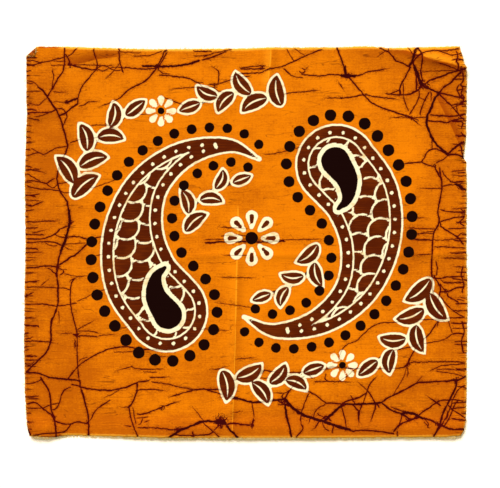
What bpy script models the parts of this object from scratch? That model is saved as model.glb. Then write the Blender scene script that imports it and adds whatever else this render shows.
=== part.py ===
"""A square-cut batik cloth, laid out flat with its picture side up.

The cloth is one piece of cotton with raw edges. It lies on the surface at z = 0 and lifts off it
only along its creases, at its bottom edge, and in its top left corner, which is folded over.
X runs across the cloth, Y up the picture, Z up. The origin is on the surface, below the middle.
"""

import math
from collections import namedtuple

import bmesh
import bpy
from mathutils import Vector

MM = 0.001

# Driving sizes, in millimetres
CLOTH_WIDTH = 450.0
CLOTH_HEIGHT = 397.0
THICKNESS = 1.0
LAYER_GAP = 0.4
HALF_WIDTH = CLOTH_WIDTH / 2
HALF_HEIGHT = CLOTH_HEIGHT / 2

# The cut edges: how far each stands in from the cloth's full width or height, along the edge
EdgePoint = namedtuple("EdgePoint", "along inset")
LEFT_EDGE = [
    EdgePoint(-HALF_HEIGHT, 6.2), EdgePoint(-192, 4.4), EdgePoint(-176, 2.2), EdgePoint(-150, 1.0),
    EdgePoint(-110, 0.2), EdgePoint(-60, 0.6), EdgePoint(0, 1.6), EdgePoint(60, 1.0),
    EdgePoint(110, 2.2), EdgePoint(129, 3.2), EdgePoint(145, 2.6), EdgePoint(HALF_HEIGHT, 2.4),
]
RIGHT_EDGE = [
    EdgePoint(-HALF_HEIGHT, 7.0), EdgePoint(-192, 4.0), EdgePoint(-182, 1.8), EdgePoint(-150, 1.0),
    EdgePoint(-60, 0.2), EdgePoint(0, 1.2), EdgePoint(50, 0.8), EdgePoint(80, 1.4), EdgePoint(86, 4.6),
    EdgePoint(95, 3.4), EdgePoint(106, 1.6), EdgePoint(160, 0.8), EdgePoint(176, 1.6),
    EdgePoint(182, 4.4), EdgePoint(HALF_HEIGHT, 7.6),
]
TOP_EDGE = [
    EdgePoint(-HALF_WIDTH, 0.4), EdgePoint(-190, 0.4), EdgePoint(-150, 1.8), EdgePoint(-95, 2.8),
    EdgePoint(-10, 2.4), EdgePoint(25, 1.2), EdgePoint(80, 1.2), EdgePoint(125, 0.2),
    EdgePoint(157, 1.8), EdgePoint(190, 1.0), EdgePoint(HALF_WIDTH, 0.0),
]
BOTTOM_EDGE = [
    EdgePoint(-HALF_WIDTH, 1.6), EdgePoint(-200, 1.0), EdgePoint(-186, 2.4), EdgePoint(-150, 1.6),
    EdgePoint(-75, 0.2), EdgePoint(20, 0.0), EdgePoint(90, 0.2), EdgePoint(160, 0.6),
    EdgePoint(205, 1.0), EdgePoint(HALF_WIDTH, 2.4),
]

# The creases: soft ridges along a line from (x1, y1) to (x2, y2). "left" and "right" are how far the
# ridge spreads to each side of that line, and the ends fade over the lengths given.
Crease = namedtuple("Crease", "name x1 y1 x2 y2 height left right fade_in fade_out")
CREASES = [
    Crease("corner_ridge", 126, 199, 228, 176, 5.2, 24, 20, 70, 0),
    Crease("right_ridge", 190, 152, 226, 82, 2.6, 12, 14, 26, 0),
    Crease("centre_crease", -5, 38, -16, -205, 1.6, 9, 14, 24, 0),
    Crease("upper_crease", 27, 205, 22, 140, 1.3, 8, 8, 0, 30),
    Crease("cross_crease", -70, -14, 232, -12, 1.2, 8, 8, 30, 0),
    Crease("top_left_ripple", -186, 189, -134, 186, 1.6, 8, 12, 16, 20),
    Crease("left_tuck", -230, 127, -184, 134, 1.4, 9, 9, 0, 24),
]

# The bottom edge's lift off the surface, along x, and how deep into the cloth the lift reaches
Lift = namedtuple("Lift", "x height")
BOTTOM_LIFT = [
    Lift(-225, 3.4), Lift(-206, 4.4), Lift(-190, 2.4), Lift(-178, 0.4), Lift(-166, 0.2),
    Lift(-145, 1.2), Lift(-110, 2.4), Lift(-75, 3.2), Lift(-45, 2.9), Lift(-10, 4.2), Lift(30, 3.6),
    Lift(70, 4.6), Lift(110, 3.8), Lift(150, 4.8), Lift(185, 4.0), Lift(207, 5.0), Lift(225, 3.2),
]
LIFT_DEPTH = 24.0
LIFT_CREST = 8.0
EDGE_DROP = 0.35

# The folded corner: the fold's line runs through two points, and the corner beyond it turns over
FOLD_START = (-222.2, 190.5)
FOLD_END = (-212.0, 199.5)
FOLD_STEPS = 4

# Where the sheet's rows and columns of faces lie closer together, from one place to the next
Span = namedtuple("Span", "end step")
COLUMN_SPANS = [Span(-185, 8), Span(-35, 15), Span(35, 5.8), Span(110, 12.5), Span(HALF_WIDTH, 7.2)]
ROW_SPANS = [Span(-170, 4), Span(-30, 14), Span(5, 5), Span(70, 13), Span(HALF_HEIGHT, 7.2)]

COLOUR_ORANGE = (0.82, 0.24, 0.004, 1.0)
ROUGHNESS = 0.85


def clear_scene():
    for obj in list(bpy.data.objects):
        bpy.data.objects.remove(obj)


def smooth(t):
    """A step from 0 to 1 with level ends."""
    t = min(max(t, 0.0), 1.0)
    return t * t * (3 - 2 * t)


def between(rows, at):
    """The second column of a table at a place along its first, with smooth steps from row to row."""
    if at <= rows[0][0]:
        return rows[0][1]
    for low, high in zip(rows, rows[1:]):
        if at <= high[0]:
            return low[1] + (high[1] - low[1]) * smooth((at - low[0]) / (high[0] - low[0]))
    return rows[-1][1]


def stops(start, spans):
    """The places of the grid's lines: even steps within each span, no longer than the span's step."""
    places = [start]
    for span in spans:
        length = span.end - places[-1]
        count = math.ceil(length / span.step)
        first = places[-1]
        places += [first + length * (k + 1) / count for k in range(count)]
    return places


def outline_point(x, y):
    """A place on the plain rectangle, moved so that the rectangle's sides follow the cut edges."""
    left = -HALF_WIDTH + between(LEFT_EDGE, y)
    right = HALF_WIDTH - between(RIGHT_EDGE, y)
    bottom = -HALF_HEIGHT + between(BOTTOM_EDGE, x)
    top = HALF_HEIGHT - between(TOP_EDGE, x)
    across = (x + HALF_WIDTH) / CLOTH_WIDTH
    up = (y + HALF_HEIGHT) / CLOTH_HEIGHT
    return left + (right - left) * across, bottom + (top - bottom) * up


def crease_height(crease, x, y):
    """How high one crease lifts the cloth at (x, y)."""
    run = Vector((crease.x2 - crease.x1, crease.y2 - crease.y1))
    from_start = Vector((x - crease.x1, y - crease.y1))
    length = run.length
    along = from_start.dot(run) / length
    side = (run.x * from_start.y - run.y * from_start.x) / length
    spread = crease.left if side > 0 else crease.right
    share = 1 - abs(side) / spread
    if share <= 0 or not 0 <= along <= length:
        return 0.0
    fade = 1.0
    if crease.fade_in:
        fade *= smooth(along / crease.fade_in)
    if crease.fade_out:
        fade *= smooth((length - along) / crease.fade_out)
    return crease.height * fade * smooth(share)


def edge_lift(x, y):
    """How high the bottom edge stands: a low roll whose crest lies a little way in from the edge."""
    from_edge = y + HALF_HEIGHT - between(BOTTOM_EDGE, x)
    height = between(BOTTOM_LIFT, x)
    if from_edge > LIFT_CREST:
        return height * smooth((LIFT_DEPTH - from_edge) / (LIFT_DEPTH - LIFT_CREST))
    return height * (1 - EDGE_DROP * smooth(1 - from_edge / LIFT_CREST))


def lie(x, y):
    """The height of the cloth's underside: 0 where it rests, more on a crease or the lifted edge."""
    heights = [crease_height(crease, x, y) for crease in CREASES]
    return max(max(heights), edge_lift(x, y))


def fold_frame():
    """The start of the folded corner's line, and the unit vector that points across it, outwards."""
    start = Vector(FOLD_START)
    line = (Vector(FOLD_END) - start).normalized()
    return start, Vector((-line.y, line.x))


def fold_radius():
    """The outer radius of the turned-over corner, which leaves a small gap between its two layers."""
    return THICKNESS + LAYER_GAP / 2


def fold_over(x, y):
    """A flat place near the top left corner, rolled over the fold and laid back on the cloth."""
    start, outwards = fold_frame()
    radius = fold_radius()
    past_bend = (Vector((x, y)) - start).dot(outwards) + radius
    if past_bend <= 0:
        return x, y, 0.0
    turn = min(past_bend / radius, math.pi)
    laid_back = max(past_bend - math.pi * radius, 0.0)
    shift = radius * math.sin(turn) - laid_back - past_bend
    return x + outwards.x * shift, y + outwards.y * shift, radius * (1 - math.cos(turn))


def cut_across_fold(mesh):
    """Cuts the flat sheet along the lines where it will bend, so that the roll is round."""
    start, outwards = fold_frame()
    radius = fold_radius()
    for step in range(FOLD_STEPS + 1):
        distance = math.pi * radius * step / FOLD_STEPS - radius
        at = start + outwards * distance
        bmesh.ops.bisect_plane(
            mesh,
            geom=mesh.verts[:] + mesh.edges[:] + mesh.faces[:],
            dist=1e-5,
            plane_co=(at.x, at.y, 0),
            plane_no=(outwards.x, outwards.y, 0),
        )


def make_cloth():
    """The cloth's one solid: a grid cut to the outline, raised along its creases, given its thickness."""
    columns = stops(-HALF_WIDTH, COLUMN_SPANS)
    rows = stops(-HALF_HEIGHT, ROW_SPANS)
    mesh = bmesh.new()
    bmesh.ops.create_grid(mesh, x_segments=len(columns) - 1, y_segments=len(rows) - 1, size=0.5)
    for vert in mesh.verts:
        column = round((vert.co.x + 0.5) * (len(columns) - 1))
        row = round((vert.co.y + 0.5) * (len(rows) - 1))
        vert.co.x, vert.co.y = outline_point(columns[column], rows[row])
        vert.co.z = 0.0
    cut_across_fold(mesh)
    for vert in mesh.verts:
        flat_x, flat_y = vert.co.x, vert.co.y
        x, y, raised = fold_over(flat_x, flat_y)
        vert.co = Vector((x, y, raised + lie(flat_x, flat_y))) * MM
    data = bpy.data.meshes.new("cloth")
    mesh.to_mesh(data)
    mesh.free()
    data.shade_smooth()
    cloth = bpy.data.objects.new("cloth", data)
    bpy.context.scene.collection.objects.link(cloth)
    body = cloth.modifiers.new("thickness", "SOLIDIFY")
    body.thickness = THICKNESS * MM
    body.offset = 1.0
    body.use_even_offset = False
    body.use_rim = True
    return cloth


def dyed_cotton():
    material = bpy.data.materials.new("dyed_cotton")
    material.use_nodes = True
    shader = material.node_tree.nodes["Principled BSDF"]
    shader.inputs["Base Color"].default_value = COLOUR_ORANGE
    shader.inputs["Roughness"].default_value = ROUGHNESS
    shader.inputs["Metallic"].default_value = 0.0
    return material


clear_scene()
make_cloth().data.materials.append(dyed_cotton())
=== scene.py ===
# %% [markdown]
# # A batik cloth, seen from above
#
# The object is one square-cut piece of plain cotton, dyed in the wax-resist way. It lies face up
# on a pale table. Most of it is flat. It lifts along its bottom edge, along a few soft creases,
# and in its top left corner, which is folded over.
#
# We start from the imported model, which fixes the cloth's real size. Everything below is measured
# in millimetres and turned into metres at the very end, because a cloth is cut in millimetres.

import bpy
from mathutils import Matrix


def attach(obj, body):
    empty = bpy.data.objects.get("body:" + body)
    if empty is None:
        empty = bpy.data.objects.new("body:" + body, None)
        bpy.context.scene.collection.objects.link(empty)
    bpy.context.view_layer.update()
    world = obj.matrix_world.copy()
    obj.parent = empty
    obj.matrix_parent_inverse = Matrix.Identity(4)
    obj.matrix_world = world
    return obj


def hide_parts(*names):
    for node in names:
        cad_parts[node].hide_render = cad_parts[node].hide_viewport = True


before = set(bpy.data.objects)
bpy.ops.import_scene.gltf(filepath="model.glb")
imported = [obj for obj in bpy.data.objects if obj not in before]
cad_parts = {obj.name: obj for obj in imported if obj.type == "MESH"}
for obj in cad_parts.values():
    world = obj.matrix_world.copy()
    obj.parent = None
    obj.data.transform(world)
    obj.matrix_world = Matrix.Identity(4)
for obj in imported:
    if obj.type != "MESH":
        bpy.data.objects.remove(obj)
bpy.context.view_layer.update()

# %% [markdown]
# ## Modules and units
#
# Blender's own modules make the pieces, and numpy does the sums for many places at once. All
# chance comes from one seeded source, so every run gives the same cloth.

# %% Other modules and units
import math
from collections import namedtuple

import bmesh
import bpy
import numpy as np
from mathutils import Vector

MM = 0.001
CLOTH_WIDTH = 450.0
CLOTH_HEIGHT = 397.0
HALF_WIDTH = CLOTH_WIDTH / 2
HALF_HEIGHT = CLOTH_HEIGHT / 2
chance = np.random.default_rng(7)

# %% [markdown]
# ## The camera
#
# The photograph looks straight down at the cloth. A camera with nothing but a height does the
# same: with no rotation it looks down its own -Z, and +Y is up in the picture. The lens follows
# from the width of table that the picture shows, which is its pixel count times the size of one
# pixel on the cloth.

# %% Make the camera
PIXEL = 1.015
PICTURE_WIDTH = 500
PICTURE_MIDDLE = (4.3, -2.0)
CAMERA_HEIGHT = 1.2
SENSOR = 36.0

lens = SENSOR * CAMERA_HEIGHT / (PICTURE_WIDTH * PIXEL * MM)
camera = bpy.data.objects.new("camera", bpy.data.cameras.new("camera"))
camera.data.sensor_width = SENSOR
camera.data.lens = lens
camera.location = (PICTURE_MIDDLE[0] * MM, PICTURE_MIDDLE[1] * MM, CAMERA_HEIGHT)
bpy.context.scene.collection.objects.link(camera)
bpy.context.scene.camera = camera
print("lens", round(lens, 1), "mm")

# %% [markdown]
# ## Table and light
#
# The background of the photograph is plain white and the shadows are soft, so a big pale table, a
# sun lamp with a wide disk and an even sky are enough. A sun lights the whole table alike, so the
# floor stays plain from every side. It shines from beyond the top edge, a little from the left, and
# low enough for the creases to show. Its shadow then falls only below the lifted bottom edge.
# The light is warm and a little stronger than white paper can show, so the half shadow and the
# edges glow yellow before they turn white. The Standard view keeps the dyes as strong as they are.

# %% Light the table
SKY_STRENGTH = 0.54
SKY_COLOUR = (1.0, 0.85, 0.48, 1.0)
LAMP_COLOUR = (1.0, 0.857, 0.79)
LAMP_FROM = (-0.75, 1.95, 1.85)
LAMP_WIDTH = 28.0
LAMP_STRENGTH = 5.0
TABLE_SIZE = 16.0
TABLE_DROP = 0.1
TABLE_WHITE = (0.95, 0.95, 0.95, 1.0)

scene = bpy.context.scene
scene.view_settings.view_transform = "Standard"
world = bpy.data.worlds.new("sky")
world.use_nodes = True
world.node_tree.nodes["Background"].inputs["Color"].default_value = SKY_COLOUR
world.node_tree.nodes["Background"].inputs["Strength"].default_value = SKY_STRENGTH
scene.world = world

lamp = bpy.data.objects.new("lamp", bpy.data.lights.new("lamp", "SUN"))
lamp.data.angle = math.radians(LAMP_WIDTH)
lamp.data.energy = LAMP_STRENGTH
lamp.data.color = LAMP_COLOUR
lamp.rotation_euler = Vector(LAMP_FROM).to_track_quat("Z", "Y").to_euler()
lamp.visible_camera = False
scene.collection.objects.link(lamp)

table_shape = bmesh.new()
bmesh.ops.create_grid(table_shape, x_segments=1, y_segments=1, size=TABLE_SIZE / 2)
bmesh.ops.translate(table_shape, verts=table_shape.verts, vec=(0, 0, -TABLE_DROP * MM))
table = bpy.data.objects.new("table", bpy.data.meshes.new("table"))
table_shape.to_mesh(table.data)
table_shape.free()
scene.collection.objects.link(table)
white = bpy.data.materials.new("white_table")
white.use_nodes = True
table_paint = white.node_tree.nodes["Principled BSDF"].inputs
table_paint["Base Color"].default_value = TABLE_WHITE
table_paint["Roughness"].default_value = 1.0
table_paint["Specular IOR Level"].default_value = 0.0
table.data.materials.append(white)
print("table", TABLE_SIZE, "m wide, lamp", LAMP_WIDTH, "degrees wide")

# %% [markdown]
# ## The cut edges
#
# The cloth was torn and cut by hand, so no side is quite straight. Each side is a short table: a
# place along the side, and how far the cut stands in from the full rectangle there. A smooth step
# joins one row to the next, so eight or ten rows draw a whole side.

# %% Tables for the four sides
EdgePoint = namedtuple("EdgePoint", "along inset")
LEFT_EDGE = [
    EdgePoint(-HALF_HEIGHT, 6.2), EdgePoint(-192, 4.4), EdgePoint(-176, 2.2), EdgePoint(-150, 1.0),
    EdgePoint(-110, 0.2), EdgePoint(-60, 0.6), EdgePoint(0, 1.6), EdgePoint(60, 1.0),
    EdgePoint(110, 2.2), EdgePoint(129, 3.2), EdgePoint(145, 2.6), EdgePoint(HALF_HEIGHT, 2.4),
]
RIGHT_EDGE = [
    EdgePoint(-HALF_HEIGHT, 7.0), EdgePoint(-192, 4.0), EdgePoint(-182, 1.8), EdgePoint(-150, 1.0),
    EdgePoint(-60, 0.2), EdgePoint(0, 1.2), EdgePoint(50, 0.8), EdgePoint(80, 1.4), EdgePoint(86, 4.6),
    EdgePoint(95, 3.4), EdgePoint(106, 1.6), EdgePoint(160, 0.8), EdgePoint(176, 1.6),
    EdgePoint(182, 4.4), EdgePoint(HALF_HEIGHT, 7.6),
]
TOP_EDGE = [
    EdgePoint(-HALF_WIDTH, 0.4), EdgePoint(-190, 0.4), EdgePoint(-150, 1.8), EdgePoint(-95, 2.8),
    EdgePoint(-10, 2.4), EdgePoint(25, 1.2), EdgePoint(80, 1.2), EdgePoint(125, 0.2),
    EdgePoint(157, 1.8), EdgePoint(190, 1.0), EdgePoint(HALF_WIDTH, 0.0),
]
BOTTOM_EDGE = [
    EdgePoint(-HALF_WIDTH, 1.6), EdgePoint(-200, 1.0), EdgePoint(-186, 2.4), EdgePoint(-150, 1.6),
    EdgePoint(-75, 0.2), EdgePoint(20, 0.0), EdgePoint(90, 0.2), EdgePoint(160, 0.6),
    EdgePoint(205, 1.0), EdgePoint(HALF_WIDTH, 2.4),
]


def smooth(t):
    """A step from 0 to 1 with level ends, for numbers or arrays."""
    t = np.clip(t, 0.0, 1.0)
    return t * t * (3 - 2 * t)


def between(rows, at):
    """A table's second column, read at places along its first, with smooth steps between rows."""
    starts, values = np.array(rows, float).T
    row = np.clip(np.searchsorted(starts, at, side="right") - 1, 0, len(starts) - 2)
    share = smooth((at - starts[row]) / (starts[row + 1] - starts[row]))
    return values[row] + (values[row + 1] - values[row]) * share


def sides(x, y):
    """Where the left, right, bottom and top cuts run at a place on the plain rectangle."""
    left = -HALF_WIDTH + between(LEFT_EDGE, y)
    right = HALF_WIDTH - between(RIGHT_EDGE, y)
    bottom = -HALF_HEIGHT + between(BOTTOM_EDGE, x)
    top = HALF_HEIGHT - between(TOP_EDGE, x)
    return left, right, bottom, top


print("the left cut wanders over", max(p.inset for p in LEFT_EDGE), "mm")

# %% [markdown]
# ## The flat sheet
#
# Cloth is modelled flat first and shaped afterwards. The grid's squares are 2 mm, fine enough to
# carry the drawn design in the mesh itself. The plain square of the grid operator is stretched
# until its rim follows the four cuts, and the rim gets a small ragged shake, because torn cotton
# has no clean edge. The corner that will fold over is cut across by parallel lines, so that it
# can roll round instead of breaking along one square's side.

# %% Cut out the sheet
SQUARE = 2.0
RAGGED = 0.35
SHEET = 0.35
LAYER_GAP = 0.4
FOLD_START = Vector((-221.5, 189.7))
FOLD_END = Vector((-211.3, 198.7))
FOLD_STEPS = 5
fold_line = (FOLD_END - FOLD_START).normalized()
FOLD_OUT = Vector((-fold_line.y, fold_line.x))
FOLD_RADIUS = SHEET + LAYER_GAP / 2

columns = round(CLOTH_WIDTH / SQUARE)
rows = round(CLOTH_HEIGHT / SQUARE)
sheet_shape = bmesh.new()
bmesh.ops.create_grid(sheet_shape, x_segments=columns, y_segments=rows, size=1.0)
plain = np.array([vert.co for vert in sheet_shape.verts])
x, y = plain[:, 0] * HALF_WIDTH, plain[:, 1] * HALF_HEIGHT
left, right, bottom, top = sides(x, y)
x = left + (right - left) * (plain[:, 0] + 1) / 2
y = bottom + (top - bottom) * (plain[:, 1] + 1) / 2
on_side = np.isclose(abs(plain[:, 0]), 1)
on_end = np.isclose(abs(plain[:, 1]), 1)
x += on_side * chance.uniform(-RAGGED, RAGGED, len(x))
y += on_end * chance.uniform(-RAGGED, RAGGED, len(x))
for vert, across, up in zip(sheet_shape.verts, x, y):
    vert.co = (across, up, 0.0)
for step in range(FOLD_STEPS + 1):
    at = FOLD_START + FOLD_OUT * (FOLD_RADIUS * (math.pi * step / FOLD_STEPS - 1))
    bmesh.ops.bisect_plane(
        sheet_shape,
        geom=sheet_shape.verts[:] + sheet_shape.edges[:] + sheet_shape.faces[:],
        dist=1e-4,
        plane_co=(at.x, at.y, 0),
        plane_no=(FOLD_OUT.x, FOLD_OUT.y, 0),
    )
sheet = bpy.data.meshes.new("batik_cloth")
sheet_shape.to_mesh(sheet)
sheet_shape.free()
cloth = bpy.data.objects.new("batik_cloth", sheet)
scene.collection.objects.link(cloth)
places = np.array([vert.co[:2] for vert in sheet.vertices])
print(len(sheet.polygons), "faces in the flat sheet")

# %% [markdown]
# ## Keep the flat places
#
# Everything that is dyed into the cloth must stay put when the cloth is lifted and folded. So the
# UV map is written now, while the sheet is flat: it runs from 0 to 1 over the full rectangle.

# %% Write the UV map
corner = np.zeros(len(sheet.loops), int)
sheet.loops.foreach_get("vertex_index", corner)
flat_map = sheet.uv_layers.new(name="flat_cloth")
share = np.column_stack([places[corner, 0] / CLOTH_WIDTH, places[corner, 1] / CLOTH_HEIGHT]) + 0.5
flat_map.data.foreach_set("uv", share.ravel())
print("uv from", share.min(axis=0).round(3), "to", share.max(axis=0).round(3))

# %% [markdown]
# ## Hot wax strokes
#
# A batik maker draws with hot wax: a tool or a brush follows a path and leaves a band of some
# width. The design here is built in the same way. A stroke is a path whose rows are x, y and half
# a width, and `outside` measures how far each place on the cloth is from that band, less than zero
# where it is covered. Such a distance blends well over a mesh, and a shader can turn it into a
# crisp edge later.

# %% Helpers for paths and strokes
FAR = 12.0


def smooth_path(points, step=2.5):
    """A smooth curve through a few points, sampled every few millimetres. Any columns may follow x, y."""
    points = np.array(points, float)
    held = np.vstack([2 * points[0] - points[1], points, 2 * points[-1] - points[-2]])
    stretches = []
    for before, start, end, after in zip(held, held[1:], held[2:], held[3:]):
        count = max(2, math.ceil(math.dist(start[:2], end[:2]) / step))
        t = (np.arange(count) / count)[:, None]
        square, cube = t * t, t * t * t
        stretches.append(
            start * (1 - 2.5 * square + 1.5 * cube)
            + end * (0.5 * t + 2 * square - 1.5 * cube)
            + before * (-0.5 * t + square - 0.5 * cube)
            + after * (0.5 * cube - 0.5 * square)
        )
    return np.vstack(stretches + [points[-1:]])


def outside(path):
    """How far each place of the cloth lies outside a stroke, up to FAR."""
    distance = np.full(len(places), FAR)
    reach = path[:, 2].max() + FAR
    low, high = path[:, :2].min(axis=0) - reach, path[:, :2].max(axis=0) + reach
    near = np.flatnonzero(((places > low) & (places < high)).all(axis=1))
    close = distance[near]
    for across, up, half in path:
        gap = np.hypot(places[near, 0] - across, places[near, 1] - up) - half
        close = np.minimum(close, gap)
    distance[near] = close
    return distance


def turned(points, angle, middle):
    """Points, or a path with more columns, turned about a middle by an angle in degrees."""
    points = np.atleast_2d(np.array(points, float)).copy()
    cosine, sine = math.cos(math.radians(angle)), math.sin(math.radians(angle))
    away = points[:, :2] - middle
    points[:, 0] = middle[0] + cosine * away[:, 0] - sine * away[:, 1]
    points[:, 1] = middle[1] + sine * away[:, 0] + cosine * away[:, 1]
    return points


test = smooth_path([(0, 0, 4), (60, 0, 4)])
print("a straight stroke covers", int((outside(test) < 0).sum()), "places")

# %% [markdown]
# ## Around a stroke
#
# Beads and dots follow a shape's outline at an even pitch. The outline of a tapering stroke is not
# simply its path moved sideways: where the width shrinks, the tangent point leans back. `around`
# allows for that, adds the round end, and `evenly` then steps along the result.

# %% Helpers for outlines
def around(path, out):
    """The outline of a stroke, moved outwards by some millimetres, from its tip round to its tip."""
    run = np.gradient(path[:, :2], axis=0)
    length = np.hypot(run[:, 0], run[:, 1])
    along = run / length[:, None]
    taper = np.clip(np.gradient(path[:, 2]) / length, -0.95, 0.95)[:, None]
    across = np.column_stack([-along[:, 1], along[:, 0]]) * np.sqrt(1 - taper ** 2)
    reach = (path[:, 2] + out)[:, None]
    left = path[:, :2] + reach * (across - along * taper)
    right = path[:, :2] + reach * (-across - along * taper)
    start = path[0, :2]
    first = math.atan2(*(left[0] - start)[::-1])
    last = math.atan2(*(right[0] - start)[::-1])
    sweep = first + np.linspace(0, (last - first) % (2 * math.pi), 30)
    end = start + reach[0] * np.column_stack([np.cos(sweep), np.sin(sweep)])
    return np.vstack([left[:0:-1], end, right[1:]])


def evenly(line, pitch):
    """Places at an even pitch along a line."""
    travelled = np.concatenate([[0], np.cumsum(np.hypot(*np.diff(line, axis=0).T))])
    count = int(travelled[-1] / pitch)
    at = (np.arange(count) + 0.5) * travelled[-1] / count
    return np.column_stack([np.interp(at, travelled, line[:, 0]), np.interp(at, travelled, line[:, 1])])


print(len(evenly(around(test, 2.0), 5.0)), "beads would fit round the test stroke")

# %% [markdown]
# ## Scales
#
# The broad parts of each motif are filled with fish scales, one of the oldest batik fillings:
# rows of half circles, each row shifted by half a scale. A point on a circle shows only where no
# circle of the next row covers it, so each arc is tested at its own nearest point.

# %% A helper for the scale filling
def from_scales(radius, origin, angle):
    """How far each place lies from the nearest arc of a scale pattern."""
    aligned = turned(places, -angle, origin) - origin
    x, y = aligned[:, 0], aligned[:, 1]
    nearest = np.full(len(places), FAR)
    for row_step in (-1, 0, 1, 2):
        row = np.floor(y / radius) + row_step
        shift = np.mod(row, 2) * radius
        for side in (-1, 0, 1):
            middle_x = (np.round((x - shift) / (2 * radius)) + side) * 2 * radius + shift
            middle_y = row * radius
            away = np.maximum(np.hypot(x - middle_x, y - middle_y), 1e-6)
            arc_x = middle_x + (x - middle_x) * radius / away
            arc_y = middle_y + (y - middle_y) * radius / away
            shows = arc_y < middle_y + 0.01
            for half in (-radius, radius):
                shows &= np.hypot(arc_x - middle_x - half, arc_y - middle_y - radius) > radius - 0.01
            nearest = np.where(shows, np.minimum(nearest, abs(away - radius)), nearest)
    return nearest


print("scale lines cover", round(float((from_scales(13.0, (0, 0), 30) < 1.7).mean()), 2), "of a plain field")

# %% [markdown]
# ## The design
#
# The face carries a traditional mango-leaf pair, one the half-turn of the other, with leafy
# branches and small flowers. Three dyes meet in it: the cream of cotton that was under wax from
# the start, a brown, and a near-black brown. The brown bodies, the stems, the cream fillings and
# the dark parts are each one distance field over the cloth, and every motif adds its strokes to
# them. A body's cream outline needs no stroke: the shader draws it from the body's own distance.

# %% Start the dye fields
MIDDLE = np.array([6.0, 4.0])
dyes = {name: np.full(len(places), FAR) for name in ("body", "stem", "cream", "dark")}
ribs = []


def paint(name, field):
    """Adds a shape to one dye."""
    dyes[name] = np.minimum(dyes[name], field)


def spare(name, field):
    """Keeps one dye out of a shape."""
    dyes[name] = np.maximum(dyes[name], -field)


def bead(x, y, radius):
    """The distance to a round drop of wax or dye."""
    return outside(np.array([[x, y, radius]]))


print(len(dyes), "fields over", len(places), "places")

# %% [markdown]
# ## The mango leaf
#
# The mango leaf, or boteh, is one fat stroke that tapers and curls at its tip. From the outside in
# it has a cream outline, a brown band with cream dots, a thinner cream line, the scales, and a
# dark heart in a cream ring. Dark beads stand round it. All of that is one function, called twice.

# %% Draw the two mango leaves
LEAF_PATH = [
    (-80, -70, 42), (-106, -36, 39), (-114, 10, 31), (-100, 56, 22),
    (-64, 88, 14.5), (-18, 98, 8), (14, 84, 2.4),
]
HEART_PATH = [(-79, -74, 14.5), (-91, -55, 10.5), (-91, -36, 5.5), (-82, -26, 2)]
OUTLINE = 2.1
BAND = 13.5
INNER_LINE = 1.7
DOT_INSET = 8.4
DOT_PITCH = 13.5
DOT_RADIUS = 1.9
SCALE_RADIUS = 13.5
SCALE_ANGLE = 34
SCALE_LINE = 2.1
HEART_RING = 4.2
BEAD_OUT = 9.0
BEAD_PITCH = 18.0
BEAD_RADIUS = 6.2
BEAD_SHRINK = 2.6


def mango_leaf(angle):
    """One mango leaf with all that belongs to it, turned about the middle of the design."""
    body_path = turned(smooth_path(LEAF_PATH), angle, MIDDLE)
    body = outside(body_path)
    paint("body", body)
    within = body + BAND
    scales = from_scales(SCALE_RADIUS, turned(LEAF_PATH[0][:2], angle, MIDDLE)[0], SCALE_ANGLE + angle)
    paint("cream", np.maximum(scales - SCALE_LINE / 2, within))
    for x, y in evenly(around(body_path, -DOT_INSET), DOT_PITCH):
        deep = np.hypot(body_path[:, 0] - x, body_path[:, 1] - y) - body_path[:, 2]
        if deep.min() < -DOT_INSET + 1:
            paint("cream", bead(x, y, DOT_RADIUS))
    heart = outside(turned(smooth_path(HEART_PATH), angle, MIDDLE))
    ring = heart - HEART_RING
    dyes["cream"] = np.where(ring < SCALE_LINE / 2, ring, dyes["cream"])
    paint("dark", heart)
    beads = evenly(around(body_path, BEAD_OUT), BEAD_PITCH)
    for k, (x, y) in enumerate(beads):
        paint("dark", bead(x, y, BEAD_RADIUS - BEAD_SHRINK * abs(k / len(beads) - 0.5)))


for half_turn in (0, 180):
    mango_leaf(half_turn)
print("the two mango leaves cover", round(float((dyes["body"] < 0).mean()), 3), "of the cloth")

# %% [markdown]
# ## Branches and flowers
#
# Small leaves, each a stroke that swells and tapers, sit on alternate sides of a curving stem and
# shrink towards its end. The flowers are eight petals round a dark eye, and the large one in the
# middle has brown hearts in its petals. Each of the others is given once with its place and size,
# and its twin is made by the half-turn.

# %% Draw the branches and flowers
Branch = namedtuple("Branch", "stem leaves length width")
BRANCHES = [
    Branch([(-176, 26), (-173, 64), (-154, 102), (-122, 128)], 6, 37, 20),
    Branch([(-62, -2), (-58, 28), (-38, 50), (-14, 60)], 4, 31, 17),
    Branch([(-36, -122), (-8, -139), (28, -143), (58, -133)], 5, 34, 19),
]
Flower = namedtuple("Flower", "x y radius")
FLOWERS = [Flower(-86, 133, 15)]
STEM_WIDTH = 3.6
STEM_START = 0.17
FIRST_LEAF = 0.16
LEAVES_RUN = 0.80
LEAF_LEAN = 0.85
LEAF_BEND = 4
LEAF_STALK = 0.3
SHORTER = 0.3
NARROWER = 0.2
END_LEAF = (0.75, 0.8)
LEAF_RIB = 1.6
PETALS = 8
PETAL_FROM = 0.42
PETAL_RUN = 0.40
PETAL_WIDTH = 0.19
PETAL_HEART = 0.42
FLOWER_EYE = 0.24
MIDDLE_FLOWER = 27


def small_leaf(base, lean, length, width, bend):
    """One leaf from its base. Its rib is kept for later, when thin lines are laid."""
    ahead = np.array([math.cos(lean), math.sin(lean)])
    aside = np.array([-ahead[1], ahead[0]])
    t = np.linspace(0, 1, 24)[:, None]
    line = base + ahead * length * t + aside * bend * np.sin(math.pi * t)
    half = LEAF_STALK + width / 2 * np.sin(math.pi * t ** 0.8) ** 0.9
    paint("body", outside(np.column_stack([line, half])))
    ribs.append(line[2:-5])


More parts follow.
